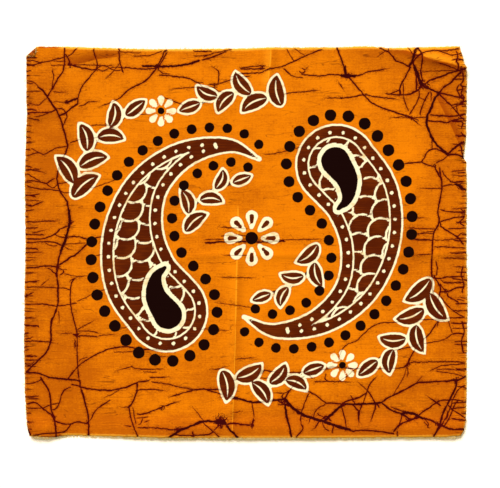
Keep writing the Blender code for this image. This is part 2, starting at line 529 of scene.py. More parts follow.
def draw_branch(branch, angle):
    """A stem with its leaves on alternate sides and one leaf at its end."""
    path = turned(smooth_path(branch.stem), angle, MIDDLE)
    stem = path[int(len(path) * STEM_START):]
    paint("stem", outside(np.column_stack([stem, np.full(len(stem), STEM_WIDTH / 2)])))
    for k in range(branch.leaves):
        at = int(len(path) * (FIRST_LEAF + LEAVES_RUN * k / branch.leaves))
        run = path[min(at + 2, len(path) - 1)] - path[at]
        side = 1 if k % 2 else -1
        lean = math.atan2(run[1], run[0]) + side * LEAF_LEAN
        share = k / branch.leaves
        length = branch.length * (1 - SHORTER * share)
        width = branch.width * (1 - NARROWER * share)
        small_leaf(path[at], lean, length, width, -LEAF_BEND * side)
    run = path[-1] - path[-3]
    length, width = branch.length * END_LEAF[0], branch.width * END_LEAF[1]
    small_leaf(path[-1], math.atan2(run[1], run[0]), length, width, 0)


def draw_flower(x, y, radius):
    """Petals round a dark eye. Only the large flower has brown hearts in its petals."""
    for k in range(PETALS):
        angle = 2 * math.pi * k / PETALS
        t = np.linspace(0, 1, 8)[:, None]
        ahead = np.array([math.cos(angle), math.sin(angle)])
        line = np.array([x, y]) + ahead * radius * (PETAL_FROM + PETAL_RUN * t)
        half = radius * PETAL_WIDTH * (0.45 + 0.75 * t)
        paint("cream", outside(np.column_stack([line, half])))
        if radius == MIDDLE_FLOWER:
            heart = outside(np.column_stack([line[3:], half[3:] * PETAL_HEART]))
            spare("cream", heart)
            paint("stem", heart)
    paint("dark", bead(x, y, radius * FLOWER_EYE))


for half_turn in (0, 180):
    for branch in BRANCHES:
        draw_branch(branch, half_turn)
    for flower in FLOWERS:
        draw_flower(*turned((flower.x, flower.y), half_turn, MIDDLE)[0], flower.radius)
draw_flower(*MIDDLE, MIDDLE_FLOWER)
for name, field in dyes.items():
    print(name, "covers", round(float((field < 0).mean()), 3))

# %% [markdown]
# ## Crackle
#
# Cold wax cracks when the cloth is handled, and dark dye runs into the cracks. The veins were
# placed one by one: the photograph's long ones, each as a few points in its pixels with a width in
# millimetres. A crack is thinner than a square of the mesh, so its plain distance would blur. Its
# signed distance, above zero on one side and below on the other, passes through zero without a
# kink, and a triangle blends it exactly.

# %% The veins
Vein = namedtuple("Vein", "width points")
LEFT_VEINS = [
    Vein(1.4, [(61, 120), (63, 127), (66.5, 140), (67.5, 146), (66.5, 151), (61, 163), (57.5, 175),
               (57, 180), (59.5, 190), (67, 202), (69, 214), (70, 222), (67.5, 234), (63.5, 244), (60, 255),
               (57.5, 266), (57, 276), (58, 286), (58, 302), (55, 314), (52, 320), (51, 328), (51, 340),
               (47, 351), (39, 359.5), (26, 372)]),
    Vein(2.3, [(69, 210), (70, 222), (68, 231), (66, 239), (62.5, 247), (61, 252)]),
    Vein(1.2, [(70, 224), (75, 221)]),
    Vein(0.9, [(27, 155.5), (39, 153), (44, 154.5), (50, 151), (57, 148), (67, 146)]),
    Vein(0.6, [(32, 149), (38, 152)]),
    Vein(0.9, [(70, 143), (80, 140), (100, 137), (104, 132), (110, 128)]),
    Vein(0.5, [(100, 137), (95, 147), (91, 157), (87, 167)]),
    Vein(0.7, [(88, 126), (100, 125), (108, 126), (118, 129.5)]),
    Vein(0.5, [(106, 124), (113, 128)]),
    Vein(0.8, [(28, 169), (33, 170), (45, 173)]),
    Vein(0.8, [(28, 174), (33, 177), (40, 181)]),
    Vein(1.0, [(27, 181), (38, 181.5), (46, 183.5), (50, 181), (55, 178.5)]),
    Vein(0.8, [(47, 184), (50, 187), (54, 188), (58, 184)]),
    Vein(1.0, [(28, 186), (33, 188), (45, 189), (58, 190.5)]),
    Vein(1.0, [(28, 195.5), (40, 194)]),
    Vein(1.0, [(28, 205.5), (33, 205.5), (42, 202)]),
    Vein(0.8, [(58, 183.5), (65, 182.5), (85, 177), (93, 175)]),
    Vein(0.6, [(61, 191), (66, 193), (75, 192), (86, 191.5)]),
    Vein(0.6, [(82, 188), (95, 187), (120, 178)]),
    Vein(1.0, [(27, 222), (35, 222), (45, 221), (59, 221)]),
    Vein(0.6, [(33, 233), (38, 232), (48, 229)]),
    Vein(0.9, [(28, 234.5), (44, 235)]),
    Vein(1.1, [(28, 239), (40, 239), (46, 238), (55, 234), (61, 228.5), (68, 226)]),
    Vein(0.8, [(55, 234), (58, 236), (66, 238)]),
    Vein(1.1, [(66, 238), (71, 236.5), (77, 236.5), (83, 238), (90, 240.5)]),
    Vein(1.0, [(90, 240.5), (94, 238), (107, 236), (119, 229), (131, 226)]),
    Vein(1.4, [(90, 241), (80, 251), (75, 255), (70, 257.5), (59, 265.5)]),
    Vein(1.0, [(27, 242.5), (52, 242), (61, 245)]),
    Vein(0.6, [(61, 245), (72, 243.5), (85, 243)]),
    Vein(0.6, [(46, 243), (50, 245.5), (57, 245.5)]),
    Vein(0.6, [(64, 246), (67, 248.5), (73, 249.5)]),
    Vein(0.8, [(100, 243), (109, 244.5), (116, 241.5), (124, 242)]),
    Vein(0.7, [(104, 252), (108, 251), (118, 247.5)]),
    Vein(0.6, [(90, 257), (95, 256), (103, 254)]),
    Vein(0.9, [(28, 252.5), (43, 252.5)]),
    Vein(0.5, [(28, 257.5), (38, 257.5)]),
    Vein(1.2, [(27, 268), (34, 267.5), (48, 266), (58, 267)]),
    Vein(0.9, [(48, 268), (55, 273), (56.5, 277)]),
    Vein(0.8, [(58, 267), (64, 271), (63, 273), (60, 275)]),
    Vein(0.6, [(60, 270), (66, 269.5)]),
    Vein(0.6, [(65, 274), (78, 276.5), (90, 275.5)]),
    Vein(0.6, [(70, 281), (75, 278)]),
    Vein(0.8, [(27, 282.5), (38, 280.5)]),
    Vein(0.6, [(41, 286), (44, 283), (49, 279)]),
    Vein(0.8, [(27, 287), (42, 287), (63, 288), (70, 290)]),
    Vein(0.9, [(25, 296), (28, 295), (33, 292.5)]),
    Vein(0.9, [(26, 304.5), (42, 304), (58, 306), (76, 303)]),
    Vein(1.0, [(75, 278), (71, 285), (70.5, 302), (72, 312), (76.5, 330), (77, 341), (78, 367), (80, 384),
               (85, 402), (87, 410)]),
    Vein(1.4, [(82, 390), (85, 402), (87, 410), (88.5, 420), (88.5, 436)]),
    Vein(0.5, [(78, 301), (98, 292), (114, 287), (130, 282), (154, 277)]),
    Vein(0.5, [(59, 311), (59.5, 325)]),
    Vein(1.2, [(26, 325.5), (38, 326)]),
    Vein(0.8, [(26, 339), (30, 338), (33, 336.5)]),
    Vein(1.0, [(25, 341.5), (38, 341), (56, 343)]),
    Vein(0.6, [(58, 333.5), (72, 333)]),
    Vein(1.2, [(73, 334), (80, 337)]),
    Vein(1.0, [(75, 340), (75, 347)]),
    Vein(0.7, [(77, 330), (82, 327), (95, 320)]),
    Vein(0.7, [(77, 331), (90, 331), (97, 332.5)]),
    Vein(1.0, [(79, 335.5), (88, 336), (97, 336.5)]),
    Vein(0.6, [(98, 336), (118, 334)]),
    Vein(0.6, [(112, 327), (122, 328), (136, 323), (151, 317), (172, 317)]),
    Vein(0.5, [(117, 295), (141, 297), (163, 295)]),
    Vein(1.1, [(26, 356), (36, 356)]),
    Vein(0.9, [(26, 360), (40, 360)]),
    Vein(0.7, [(26, 364), (30, 365), (34, 362)]),
]
TOP_VEINS = [
    Vein(1.2, [(64.5, 48), (64.5, 57), (64.3, 66), (62, 73), (58, 78), (56, 83), (49, 94), (47.5, 97)]),
    Vein(0.7, [(52.5, 70), (53.5, 78), (52.5, 88)]),
    Vein(1.1, [(66, 55), (69, 60), (70, 66)]),
    Vein(0.8, [(77, 49), (73, 53), (67, 57)]),
    Vein(0.9, [(27, 61), (34, 61), (41, 62.5), (54, 60), (66, 56.5)]),
    Vein(0.7, [(54, 61), (60, 61.5), (66, 61)]),
    Vein(0.9, [(27, 64.5), (34, 64.5), (41, 63)]),
    Vein(0.6, [(52, 65.5), (58, 65), (65, 65)]),
    Vein(1.5, [(38, 87), (43, 91), (47.5, 97), (52, 104), (57, 111), (60, 117), (61, 120)]),
    Vein(1.2, [(69, 64), (74, 66), (82, 68), (90, 69.5), (97, 70)]),
    Vein(0.7, [(72, 65), (84, 65), (96, 65.5), (112, 66)]),
    Vein(0.8, [(95, 71), (101, 66), (108, 67), (115, 71), (121, 70)]),
    Vein(0.7, [(97, 69), (103, 71), (110, 68), (117, 67.5), (126, 68)]),
    Vein(1.0, [(94, 49), (95, 55), (97, 62), (97, 68), (90, 77), (82, 87), (78, 98), (77.5, 104)]),
    Vein(1.6, [(78, 98), (73, 100), (65.5, 103)]),
    Vein(0.6, [(66, 102.5), (54, 102)]),
    Vein(0.8, [(79, 106), (84, 105), (89, 102), (100, 101)]),
    Vein(1.4, [(78, 104), (73, 107), (67, 112), (59, 116)]),
    Vein(0.9, [(57, 109), (63, 109), (66, 113)]),
    Vein(1.0, [(66, 113), (67, 117), (64, 124), (62.5, 127)]),
    Vein(0.7, [(28, 103), (39, 105), (43, 101), (46, 99)]),
    Vein(1.1, [(28, 113), (45, 112.5), (52, 112), (56, 109)]),
    Vein(0.7, [(36, 117), (44, 115), (50, 112)]),
    Vein(0.8, [(28, 118), (34, 119.5), (39, 120)]),
    Vein(0.6, [(54, 92), (68, 92.5)]),
    Vein(0.7, [(27, 81), (33, 82), (38, 86)]),
    Vein(0.6, [(104, 80), (110, 75), (118, 66), (120, 62)]),
    Vein(1.1, [(119, 49), (120, 62), (123, 72)]),
    Vein(0.8, [(99, 107), (112, 102), (118, 99), (122, 96)]),
    Vein(0.7, [(134, 56), (150, 55.5), (162, 51)]),
    Vein(0.5, [(120, 52), (128, 52.5), (140, 53)]),
    Vein(1.7, [(142, 66), (152, 66), (170, 66.5), (185, 65), (200, 60.5)]),
    Vein(1.2, [(202, 60), (210, 58), (217, 55.5), (226, 51.5)]),
    Vein(0.7, [(204, 57), (213, 53.5), (224, 51), (232, 49)]),
    Vein(1.0, [(126, 67.5), (140, 69), (156, 69)]),
    Vein(1.2, [(164, 52), (162, 58), (157, 67)]),
    Vein(1.0, [(167, 52), (163, 60), (159, 66)]),
    Vein(1.2, [(157, 68), (152, 74), (144, 82), (130, 89), (120, 98)]),
    Vein(0.7, [(158, 70), (163, 73), (170, 74)]),
    Vein(1.0, [(160, 75), (170, 76), (187, 78), (198, 83), (203, 87), (209, 89)]),
    Vein(0.5, [(196, 82), (203, 82.5)]),
    Vein(0.8, [(209, 85), (214, 84), (219, 84)]),
    Vein(0.6, [(217, 87), (212, 88)]),
    Vein(0.9, [(219, 84), (224, 82), (240, 77.5), (250, 76)]),
    Vein(0.9, [(211, 66), (218, 71), (219, 77), (218, 84)]),
    Vein(1.0, [(194, 51), (211, 51.5)]),
    Vein(0.7, [(195, 56), (211, 55)]),
    Vein(0.5, [(208, 58), (211, 61)]),
    Vein(1.0, [(232, 77), (240, 74), (262, 72.5), (266, 70), (283, 66), (299, 59), (310, 54), (322, 49.5)]),
    Vein(0.9, [(241, 68), (253, 66.5), (265, 66)]),
    Vein(1.1, [(241, 69), (250, 69), (264, 69)]),
    Vein(1.1, [(284, 69), (286, 71), (289, 73.5)]),
    Vein(0.7, [(290, 75), (296, 77), (303, 77.5)]),
    Vein(1.0, [(302, 74.5), (322, 76), (330, 74.5), (340, 75)]),
    Vein(0.7, [(302, 68), (305, 70), (309, 66)]),
    Vein(1.0, [(300, 72), (303, 74), (305, 71)]),
    Vein(0.5, [(295, 49), (305, 56)]),
    Vein(0.6, [(287, 50), (290, 55), (294, 61)]),
    Vein(1.4, [(337, 48), (340, 56), (344, 67), (345, 72)]),
    Vein(2.4, [(345, 66), (345.5, 72), (347, 76)]),
    Vein(2.6, [(340, 75.5), (348, 76), (356, 76)]),
    Vein(1.2, [(349, 77), (353, 82), (364, 95), (371, 102), (380, 107), (400, 114), (411, 118)]),
    Vein(1.0, [(356, 76), (362, 74.5), (368, 72), (389, 68.5)]),
    Vein(1.0, [(338, 81), (341, 86), (344, 91)]),
    Vein(0.9, [(324, 98), (346, 98), (363, 95), (376, 97), (395, 99)]),
    Vein(0.8, [(278, 95), (285, 94), (298, 92), (320, 90.5)]),
    Vein(0.8, [(161, 96), (170, 100), (184, 105), (195, 103), (210, 102)]),
    Vein(0.6, [(134, 111), (140, 114), (151, 114)]),
    Vein(0.6, [(170, 89), (208, 87), (219, 91), (230, 94)]),
    Vein(0.7, [(262, 154), (274, 154), (289, 150), (311, 145)]),
    Vein(0.9, [(218, 227), (232, 227.5), (248, 229)]),
    Vein(0.6, [(222, 236), (240, 235), (250, 237)]),
    Vein(1.5, [(205, 243), (220, 242), (240, 241.5), (260, 242), (284, 241)]),
    Vein(0.6, [(205, 239.5), (240, 239), (270, 240), (322, 239)]),
    Vein(0.9, [(262, 237), (266, 239), (270, 243)]),
    Vein(0.7, [(222, 255), (250, 255.5)]),
    Vein(0.6, [(218, 277), (256, 278)]),
]
RIGHT_VEINS = [
    Vein(1.2, [(456.5, 52), (457.5, 58), (455.5, 61), (457.5, 66), (457, 71)]),
    Vein(0.9, [(438, 51), (448, 54.5), (453, 55.5), (462, 53)]),
    Vein(0.9, [(452, 61), (457, 59), (463, 61)]),
    Vein(1.0, [(452, 108.5), (458, 105), (465, 104)]),
    Vein(0.9, [(456.5, 90.5), (465, 89)]),
    Vein(1.0, [(461, 209), (464, 213), (463, 219), (459, 222), (464, 226)]),
    Vein(1.2, [(380, 48), (390, 54), (396, 61), (402, 63), (411, 68)]),
    Vein(0.7, [(377, 57), (382, 53), (386, 51)]),
    Vein(0.6, [(388, 48), (388, 52)]),
    Vein(1.8, [(418, 49), (416.5, 48.3), (415, 50), (414, 54), (412, 61), (409.5, 66)]),
    Vein(1.2, [(421, 54.5), (418, 56), (414.5, 60), (413, 64), (416.5, 71)]),
    Vein(1.4, [(418.5, 78), (421.5, 82), (420, 87), (417, 90.5), (411, 93.7)]),
    Vein(1.2, [(425, 84), (428.5, 81), (432.5, 79)]),
    Vein(0.9, [(457, 104), (456.5, 109), (457.5, 114)]),
    Vein(0.7, [(419, 97.5), (425, 100)]),
    Vein(0.8, [(431, 92.5), (431, 100)]),
    Vein(0.9, [(459, 85), (456.5, 89), (459, 94), (460, 98)]),
    Vein(0.7, [(408, 48.7), (411.5, 54)]),
    Vein(1.4, [(410, 68), (404, 79), (400, 87), (400, 95)]),
    Vein(0.9, [(391, 93.5), (395, 92), (399, 90)]),
    Vein(1.2, [(386, 93.5), (392, 94.5), (406, 95), (413, 93), (422, 87)]),
    Vein(2.7, [(414, 66), (416, 71), (420, 81), (422, 85)]),
    Vein(1.3, [(415, 70), (416.5, 82), (416, 90)]),
    Vein(1.3, [(418, 49), (421.5, 55), (421.5, 62), (421, 76), (423, 81)]),
    Vein(1.0, [(413, 55), (417, 56), (421, 55)]),
    Vein(1.0, [(421, 54), (427, 52), (434, 51), (445, 51), (459, 49)]),
    Vein(1.6, [(422, 85), (427, 88), (439, 93)]),
    Vein(1.4, [(431, 80), (440, 77), (450, 73), (465, 69)]),
    Vein(0.8, [(434, 63), (444, 65), (458, 71)]),
    Vein(0.6, [(423, 72), (440, 71), (456, 71)]),
    Vein(1.4, [(439, 93), (443, 88), (449, 84), (454, 79), (461, 72)]),
    Vein(1.9, [(439, 93), (434, 100), (430, 110), (427, 116), (427, 126), (432.5, 139), (439, 147),
               (448, 155)]),
    Vein(1.2, [(439, 93), (448, 95), (463, 98)]),
    Vein(1.2, [(439, 94), (450, 105), (461, 117), (464, 120)]),
    Vein(1.1, [(462, 73), (463, 80), (460, 85), (463, 88), (461, 94), (464, 98), (462, 104)]),
    Vein(0.9, [(450, 105.5), (456, 104.5), (463, 103)]),
    Vein(0.9, [(453, 79.5), (462, 79)]),
    Vein(1.1, [(429, 92), (425, 100), (422.5, 105), (420, 114)]),
    Vein(0.9, [(419, 90.5), (419, 96.5), (416, 104), (409.5, 114)]),
    Vein(0.8, [(403, 84), (404, 100), (408, 110)]),
    Vein(0.8, [(389, 118), (400, 117), (411, 118), (427, 117)]),
    Vein(0.7, [(395, 112), (405, 115), (418, 120)]),
    Vein(0.9, [(411, 118), (416, 122), (421, 126)]),
    Vein(1.3, [(430, 115), (450, 116.5), (460, 115), (465, 114)]),
    Vein(1.2, [(428, 121), (442, 122), (447, 123), (451, 121), (463, 118)]),
    Vein(1.0, [(452, 122), (460, 122), (465, 124)]),
    Vein(1.1, [(463, 123), (461, 128)]),
    Vein(1.3, [(458, 136.5), (465, 135)]),
    Vein(1.1, [(461, 132.5), (464, 136)]),
    Vein(1.5, [(448, 155), (458, 155), (464, 158)]),
    Vein(1.6, [(448, 154), (452, 150), (462, 142)]),
    Vein(1.3, [(459, 145), (461, 148), (461, 152), (463, 158)]),
    Vein(0.9, [(432, 139), (432, 147)]),
    Vein(1.1, [(433, 149), (429, 150.5), (424, 158), (421.5, 162)]),
    Vein(1.1, [(433, 149), (437, 149), (446, 154)]),
    Vein(0.9, [(447, 156), (444, 159), (436, 163)]),
    Vein(1.1, [(421.5, 162), (408, 163.5), (400, 164.5)]),
    Vein(1.0, [(421.5, 162), (426, 164.5), (435, 167)]),
    Vein(1.3, [(435, 168), (437, 172), (441.5, 182), (441, 194), (438, 210), (439, 222), (434, 233),
               (432, 247), (431.5, 268), (432.5, 290), (437, 303), (438, 320)]),
    Vein(1.2, [(439.5, 168), (440, 175), (442, 180)]),
    Vein(0.9, [(442, 171), (444, 175), (450, 180.5)]),
    Vein(0.9, [(443, 186), (448, 185), (458, 184.5)]),
    Vein(0.7, [(418, 188), (430, 188.5), (441, 188.5)]),
    Vein(1.2, [(450, 182), (457, 182), (464, 181)]),
    Vein(2.0, [(455, 184), (459, 186), (465, 190)]),
    Vein(1.2, [(458, 173), (465, 172.5)]),
    Vein(1.0, [(458, 176), (463, 176)]),
    Vein(1.2, [(434, 276), (440, 287), (440, 292), (437, 303)]),
    Vein(1.0, [(439, 223), (442, 221), (455, 217.5), (464, 217)]),
    Vein(1.3, [(440, 223), (443, 228), (457, 237), (463, 244)]),
    Vein(0.8, [(457, 237), (460, 234), (464, 233)]),
    Vein(1.3, [(434, 240), (424, 240), (411, 239)]),
    Vein(0.8, [(435, 240), (445, 240), (464, 238)]),
    Vein(0.8, [(411, 236), (418, 234), (433, 231)]),
    Vein(0.9, [(434, 247), (445, 247), (464, 248)]),
    Vein(0.9, [(440, 258), (455, 258), (464, 258)]),
    Vein(0.9, [(436, 262), (437, 268), (436, 275)]),
    Vein(1.1, [(434, 278), (440, 278.5), (447, 277), (464, 276.5)]),
    Vein(0.7, [(441, 280), (446, 283), (464, 282.5)]),
    Vein(0.9, [(440, 284), (444, 289), (447, 292)]),
    Vein(1.2, [(440, 292), (450, 291), (456, 288), (464, 287)]),
    Vein(1.0, [(447, 293), (449, 297), (458, 302)]),
    Vein(0.9, [(441, 297), (445, 303), (455, 312), (464, 317)]),
    Vein(0.7, [(457, 299), (464, 301)]),
    Vein(1.1, [(438, 318), (448, 318), (464, 317.5)]),
    Vein(0.9, [(432, 319), (444, 321)]),
    Vein(0.9, [(440, 314), (437, 326)]),
    Vein(1.0, [(441, 210), (454, 212), (464, 212)]),
    Vein(0.9, [(449, 229), (464, 228)]),
    Vein(0.7, [(412, 234), (434, 233)]),
    Vein(0.7, [(405, 228), (437, 229)]),
    Vein(0.7, [(379, 218), (396, 218), (427, 218)]),
    Vein(0.7, [(414, 255), (432, 254)]),
    Vein(0.9, [(428, 277), (434, 278)]),
    Vein(1.2, [(463, 266), (461, 275), (464, 284), (462, 292)]),
    Vein(1.2, [(462, 322), (464, 332), (461, 341), (463, 352)]),
]
BOTTOM_VEINS = [
    Vein(1.5, [(26, 372), (38, 373), (43, 374.5), (53, 378), (63, 379), (80, 380.5)]),
    Vein(1.2, [(71, 384.5), (76, 385), (85, 388), (92, 389), (104, 390), (116, 389.5), (128, 386.5),
               (137, 382.5), (148, 380.5)]),
    Vein(1.0, [(80, 380), (80, 386)]),
    Vein(1.1, [(68, 378.5), (74, 371), (82, 363), (92, 357), (100, 352.5), (109, 349)]),
    Vein(1.2, [(109, 349), (120, 347), (127, 346.5), (140, 349), (162, 350), (175, 350)]),
    Vein(0.7, [(79, 361), (84, 358), (88, 357)]),
    Vein(0.8, [(26, 383.5), (33, 383), (42, 379.5)]),
    Vein(1.4, [(41, 378), (45, 384), (49, 391), (51, 404), (51.5, 410), (55, 421), (57, 437)]),
    Vein(1.0, [(70, 387), (66, 389), (63, 392), (58, 406), (55, 409), (52, 410)]),
    Vein(0.9, [(52, 404), (59, 403)]),
    Vein(1.2, [(27, 404), (32, 402.5), (36, 402.5), (44, 409), (52, 415), (54, 418)]),
    Vein(0.8, [(28, 408), (42, 408), (50, 405)]),
    Vein(1.1, [(56, 421), (61, 423), (70, 424), (78, 422), (88, 424)]),
    Vein(1.1, [(71, 424), (66, 430.5), (61, 432), (45, 433), (34, 434.5)]),
    Vein(1.4, [(26, 420), (28, 428), (31, 434)]),
    Vein(0.9, [(90, 420), (97, 409.5), (110, 400)]),
    Vein(0.6, [(103, 398), (112, 394), (119, 390)]),
    Vein(0.6, [(29, 398), (38, 398.5)]),
    Vein(0.6, [(115, 352), (125, 352), (135, 351)]),
    Vein(0.6, [(150, 356), (170, 357)]),
    Vein(0.7, [(115, 371), (122, 369), (133, 366)]),
    Vein(0.8, [(132, 367), (140, 369), (165, 369)]),
    Vein(0.6, [(144, 372), (157, 372)]),
    Vein(0.9, [(150, 377.5), (170, 377)]),
    Vein(0.8, [(152, 382), (168, 384), (175, 386), (195, 390)]),
    Vein(0.8, [(210, 369), (217, 369), (228, 366)]),
    Vein(1.3, [(137, 383), (137, 390), (134, 400), (129, 407)]),
    Vein(1.1, [(129, 407), (131, 418), (135, 429), (138, 436)]),
    Vein(0.7, [(133, 408), (134, 415), (136, 423)]),
    Vein(0.6, [(128, 407), (120, 407)]),
    Vein(0.8, [(124, 425), (131, 426)]),
    Vein(1.0, [(137, 390), (143, 389.5), (156, 389.5), (166, 391)]),
    Vein(1.1, [(168, 397), (174, 395.5), (193, 390)]),
    Vein(1.3, [(193, 390), (200, 389), (215, 389.5), (234, 390)]),
    Vein(1.1, [(207, 390), (218, 393), (225, 395), (238, 399)]),
    Vein(0.8, [(217, 398), (222, 397), (237, 399)]),
    Vein(1.1, [(138, 414), (143, 414), (155, 410), (168, 404.5), (180, 401)]),
    Vein(0.8, [(138, 418), (148, 417)]),
    Vein(0.8, [(143, 418), (141, 423), (139, 424)]),
    Vein(0.7, [(145, 422), (149, 420)]),
    Vein(0.5, [(192, 406), (196, 411), (202, 419)]),
    Vein(0.9, [(138, 427), (158, 427.5), (172, 429), (185, 428)]),
    Vein(1.9, [(170, 436), (180, 430), (193, 425), (204, 421), (216, 421.5)]),
    Vein(1.6, [(216, 422), (227, 424)]),
    Vein(4.4, [(217, 421), (221, 422), (225, 422.5)]),
    Vein(1.4, [(221, 415), (221, 427)]),
    Vein(0.9, [(214, 430), (217, 427), (227, 418)]),
    Vein(1.0, [(176, 434), (187, 435), (207, 434), (214, 431)]),
    Vein(1.1, [(193, 430.5), (193, 436)]),
    Vein(0.9, [(203, 422), (212, 430), (219, 436)]),
    Vein(1.3, [(227, 424), (232, 423), (250, 425)]),
    Vein(1.8, [(227, 425), (231, 430), (238, 437)]),
    Vein(0.8, [(231, 413), (235, 412), (242, 411)]),
    Vein(0.8, [(252, 403), (253, 409), (254, 416)]),
    Vein(1.3, [(254, 419), (252, 424), (252, 427)]),
    Vein(0.6, [(235, 359), (245, 358), (257, 357.5)]),
    Vein(1.7, [(258, 373.5), (261, 373), (264, 370)]),
    Vein(0.9, [(226, 380.5), (238, 379.5), (252, 378)]),
    Vein(0.6, [(252, 378), (280, 378)]),
    Vein(0.9, [(262, 370), (283, 372.5), (300, 372), (326, 369.5), (334, 367), (358, 368.5), (400, 368),
               (409, 363), (420, 362), (445, 361.5), (464, 362)]),
    Vein(0.8, [(280, 373), (280, 378)]),
    Vein(0.6, [(281, 378), (287, 376), (292, 374)]),
    Vein(1.1, [(303, 372), (307, 374), (312, 378)]),
    Vein(1.0, [(320, 369.5), (326, 368.5), (333, 366)]),
    Vein(1.2, [(304, 376.5), (298, 380), (290, 390), (285, 398)]),
    Vein(0.8, [(273, 393), (285, 393), (288, 391)]),
    Vein(1.0, [(283, 394), (282, 397), (284, 400)]),
    Vein(1.7, [(230, 396), (240, 399), (252, 402), (260, 402), (276, 400), (286, 399)]),
    Vein(1.2, [(278, 401), (284, 404), (289, 406)]),
    Vein(1.0, [(279, 404.5), (289, 404)]),
    Vein(2.2, [(285, 399), (293, 408), (306, 416), (323, 421), (340, 427), (350, 429)]),
    Vein(1.8, [(285, 404), (287, 418), (290, 430), (291, 436)]),
    Vein(1.1, [(304, 390), (314, 394), (326, 403)]),
    Vein(1.0, [(309, 393), (306, 399), (301, 415), (301, 424)]),
    Vein(1.0, [(301, 424), (303, 428), (300, 432), (296, 437)]),
    Vein(0.6, [(293, 408), (302, 410)]),
    Vein(1.1, [(326, 403), (332, 403), (342, 404)]),
    Vein(0.8, [(325, 404), (317, 409), (313, 417)]),
    Vein(0.9, [(311, 417), (309, 421)]),
    Vein(1.0, [(319, 421), (315, 427), (312, 429)]),
    Vein(0.8, [(322, 421), (324, 427), (328, 430)]),
    Vein(1.1, [(333, 425), (332, 431)]),
    Vein(0.9, [(318, 414), (323, 417)]),
    Vein(2.0, [(342, 405), (334, 412), (324, 421)]),
    Vein(1.4, [(322, 419), (326, 416), (330, 420)]),
    Vein(1.2, [(341, 405), (347, 401), (360, 397), (367, 392)]),
    Vein(1.0, [(342, 408), (344, 416), (346, 425)]),
    Vein(0.9, [(326, 374), (325, 379), (328, 381)]),
    Vein(0.8, [(315, 381.5), (335, 381.5), (352, 382)]),
    Vein(0.8, [(338, 382), (343, 379), (354, 370)]),
    Vein(1.1, [(404, 367), (408, 363), (409, 359)]),
    Vein(0.8, [(338, 358), (345, 346), (357, 340), (370, 328), (381, 323), (395, 322), (415, 320),
               (437, 319)]),
    Vein(0.9, [(388, 352), (395, 350), (415, 346)]),
    Vein(0.7, [(415, 344), (427, 343), (443, 340), (452, 334)]),
    Vein(1.1, [(437, 322), (430, 333), (421, 342), (413, 352), (407, 366)]),
    Vein(0.6, [(407, 366), (403, 378), (393, 395)]),
    Vein(0.8, [(407, 367), (408, 372), (407, 376)]),
    Vein(0.7, [(423, 375), (416, 383)]),
    Vein(0.8, [(428, 372), (438, 367), (445, 365), (464, 363.5)]),
    Vein(0.7, [(436, 369), (450, 369), (464, 371)]),
    Vein(0.7, [(436, 371), (455, 374), (464, 377)]),
    Vein(1.8, [(345, 404), (362, 404), (377, 403), (382, 402)]),
    Vein(1.4, [(382, 402), (391, 396), (402, 391), (415, 384), (421, 382.5), (447, 381), (453, 380)]),
    Vein(1.6, [(453, 380), (458, 380), (466, 376)]),
    Vein(1.6, [(455, 380), (456, 386), (450, 399), (444, 411), (438, 427), (433, 436)]),
    Vein(1.0, [(456, 386), (460, 387), (464, 386)]),
    Vein(1.0, [(450, 400), (442, 400), (437, 402)]),
    Vein(1.0, [(450, 399.5), (455, 399.5), (462, 401)]),
    Vein(1.1, [(448, 405), (452, 409), (465, 418)]),
    Vein(0.9, [(451, 409), (458, 408), (465, 407)]),
    Vein(0.8, [(447, 411), (448, 416), (444, 420)]),
    Vein(1.1, [(444, 425), (449, 418), (455, 404), (458, 400)]),
    Vein(1.4, [(440, 424), (449, 428.5), (464, 428.5)]),
    Vein(1.5, [(382, 403), (391, 410), (402, 414), (409, 419)]),
    Vein(0.9, [(391, 407), (402, 411), (405, 413)]),
    Vein(2.1, [(401, 414.5), (405, 412.5), (413, 413.5), (418, 416), (424, 418.5)]),
    Vein(1.4, [(424, 418.5), (430, 420), (437, 423.5), (441, 425.5)]),
    Vein(1.3, [(406, 419), (409, 420.5), (418, 416)]),
    Vein(1.0, [(465, 385.5), (457.5, 390), (453, 399), (450, 408), (446, 417), (441, 425), (437, 430)]),
    Vein(0.8, [(424, 419), (428, 423), (427, 426.5)]),
    Vein(1.3, [(409, 419), (414, 418), (424, 411), (440, 400)]),
    Vein(1.4, [(393, 431), (400, 424), (409, 420.5), (419, 417)]),
    Vein(1.0, [(397, 431), (397, 435)]),
    Vein(0.9, [(402, 415), (399, 424), (398, 427)]),
    Vein(1.3, [(426, 395), (433.5, 400.5), (440, 405)]),
    Vein(1.2, [(340, 427), (350, 430), (370, 430), (393, 433)]),
    Vein(1.5, [(358.5, 411), (358.5, 425)]),
    Vein(1.3, [(352, 404), (359, 412)]),
    Vein(1.2, [(362, 404), (359, 413)]),
    Vein(1.1, [(368, 391), (374, 401), (375, 408), (370, 422)]),
    Vein(1.0, [(378, 375), (370, 384), (366, 394), (363, 404)]),
    Vein(0.9, [(351, 396), (355, 404)]),
    Vein(1.2, [(376, 403), (379, 407)]),
    Vein(0.7, [(424, 422), (428, 427)]),
    Vein(0.7, [(448, 320), (452, 333)]),
    Vein(1.1, [(452, 334), (458, 333), (464, 334)]),
    Vein(0.6, [(189, 332), (206, 329), (230, 331)]),
    Vein(0.5, [(216, 303), (235, 305), (253, 308)]),
    Vein(0.6, [(290, 334), (318, 335)]),
    Vein(0.7, [(357, 381), (368, 391)]),
    Vein(0.6, [(444, 282), (464, 282)]),
]
FLAP_VEINS = [
    Vein(1.6, [(33, 51.5), (36, 53.5)]),
    Vein(1.0, [(33.5, 49.5), (37, 51)]),
]
ALL_VEINS = LEFT_VEINS + TOP_VEINS + RIGHT_VEINS + BOTTOM_VEINS
print(len(ALL_VEINS), "veins, and", len(FLAP_VEINS), "on the turned-over corner")
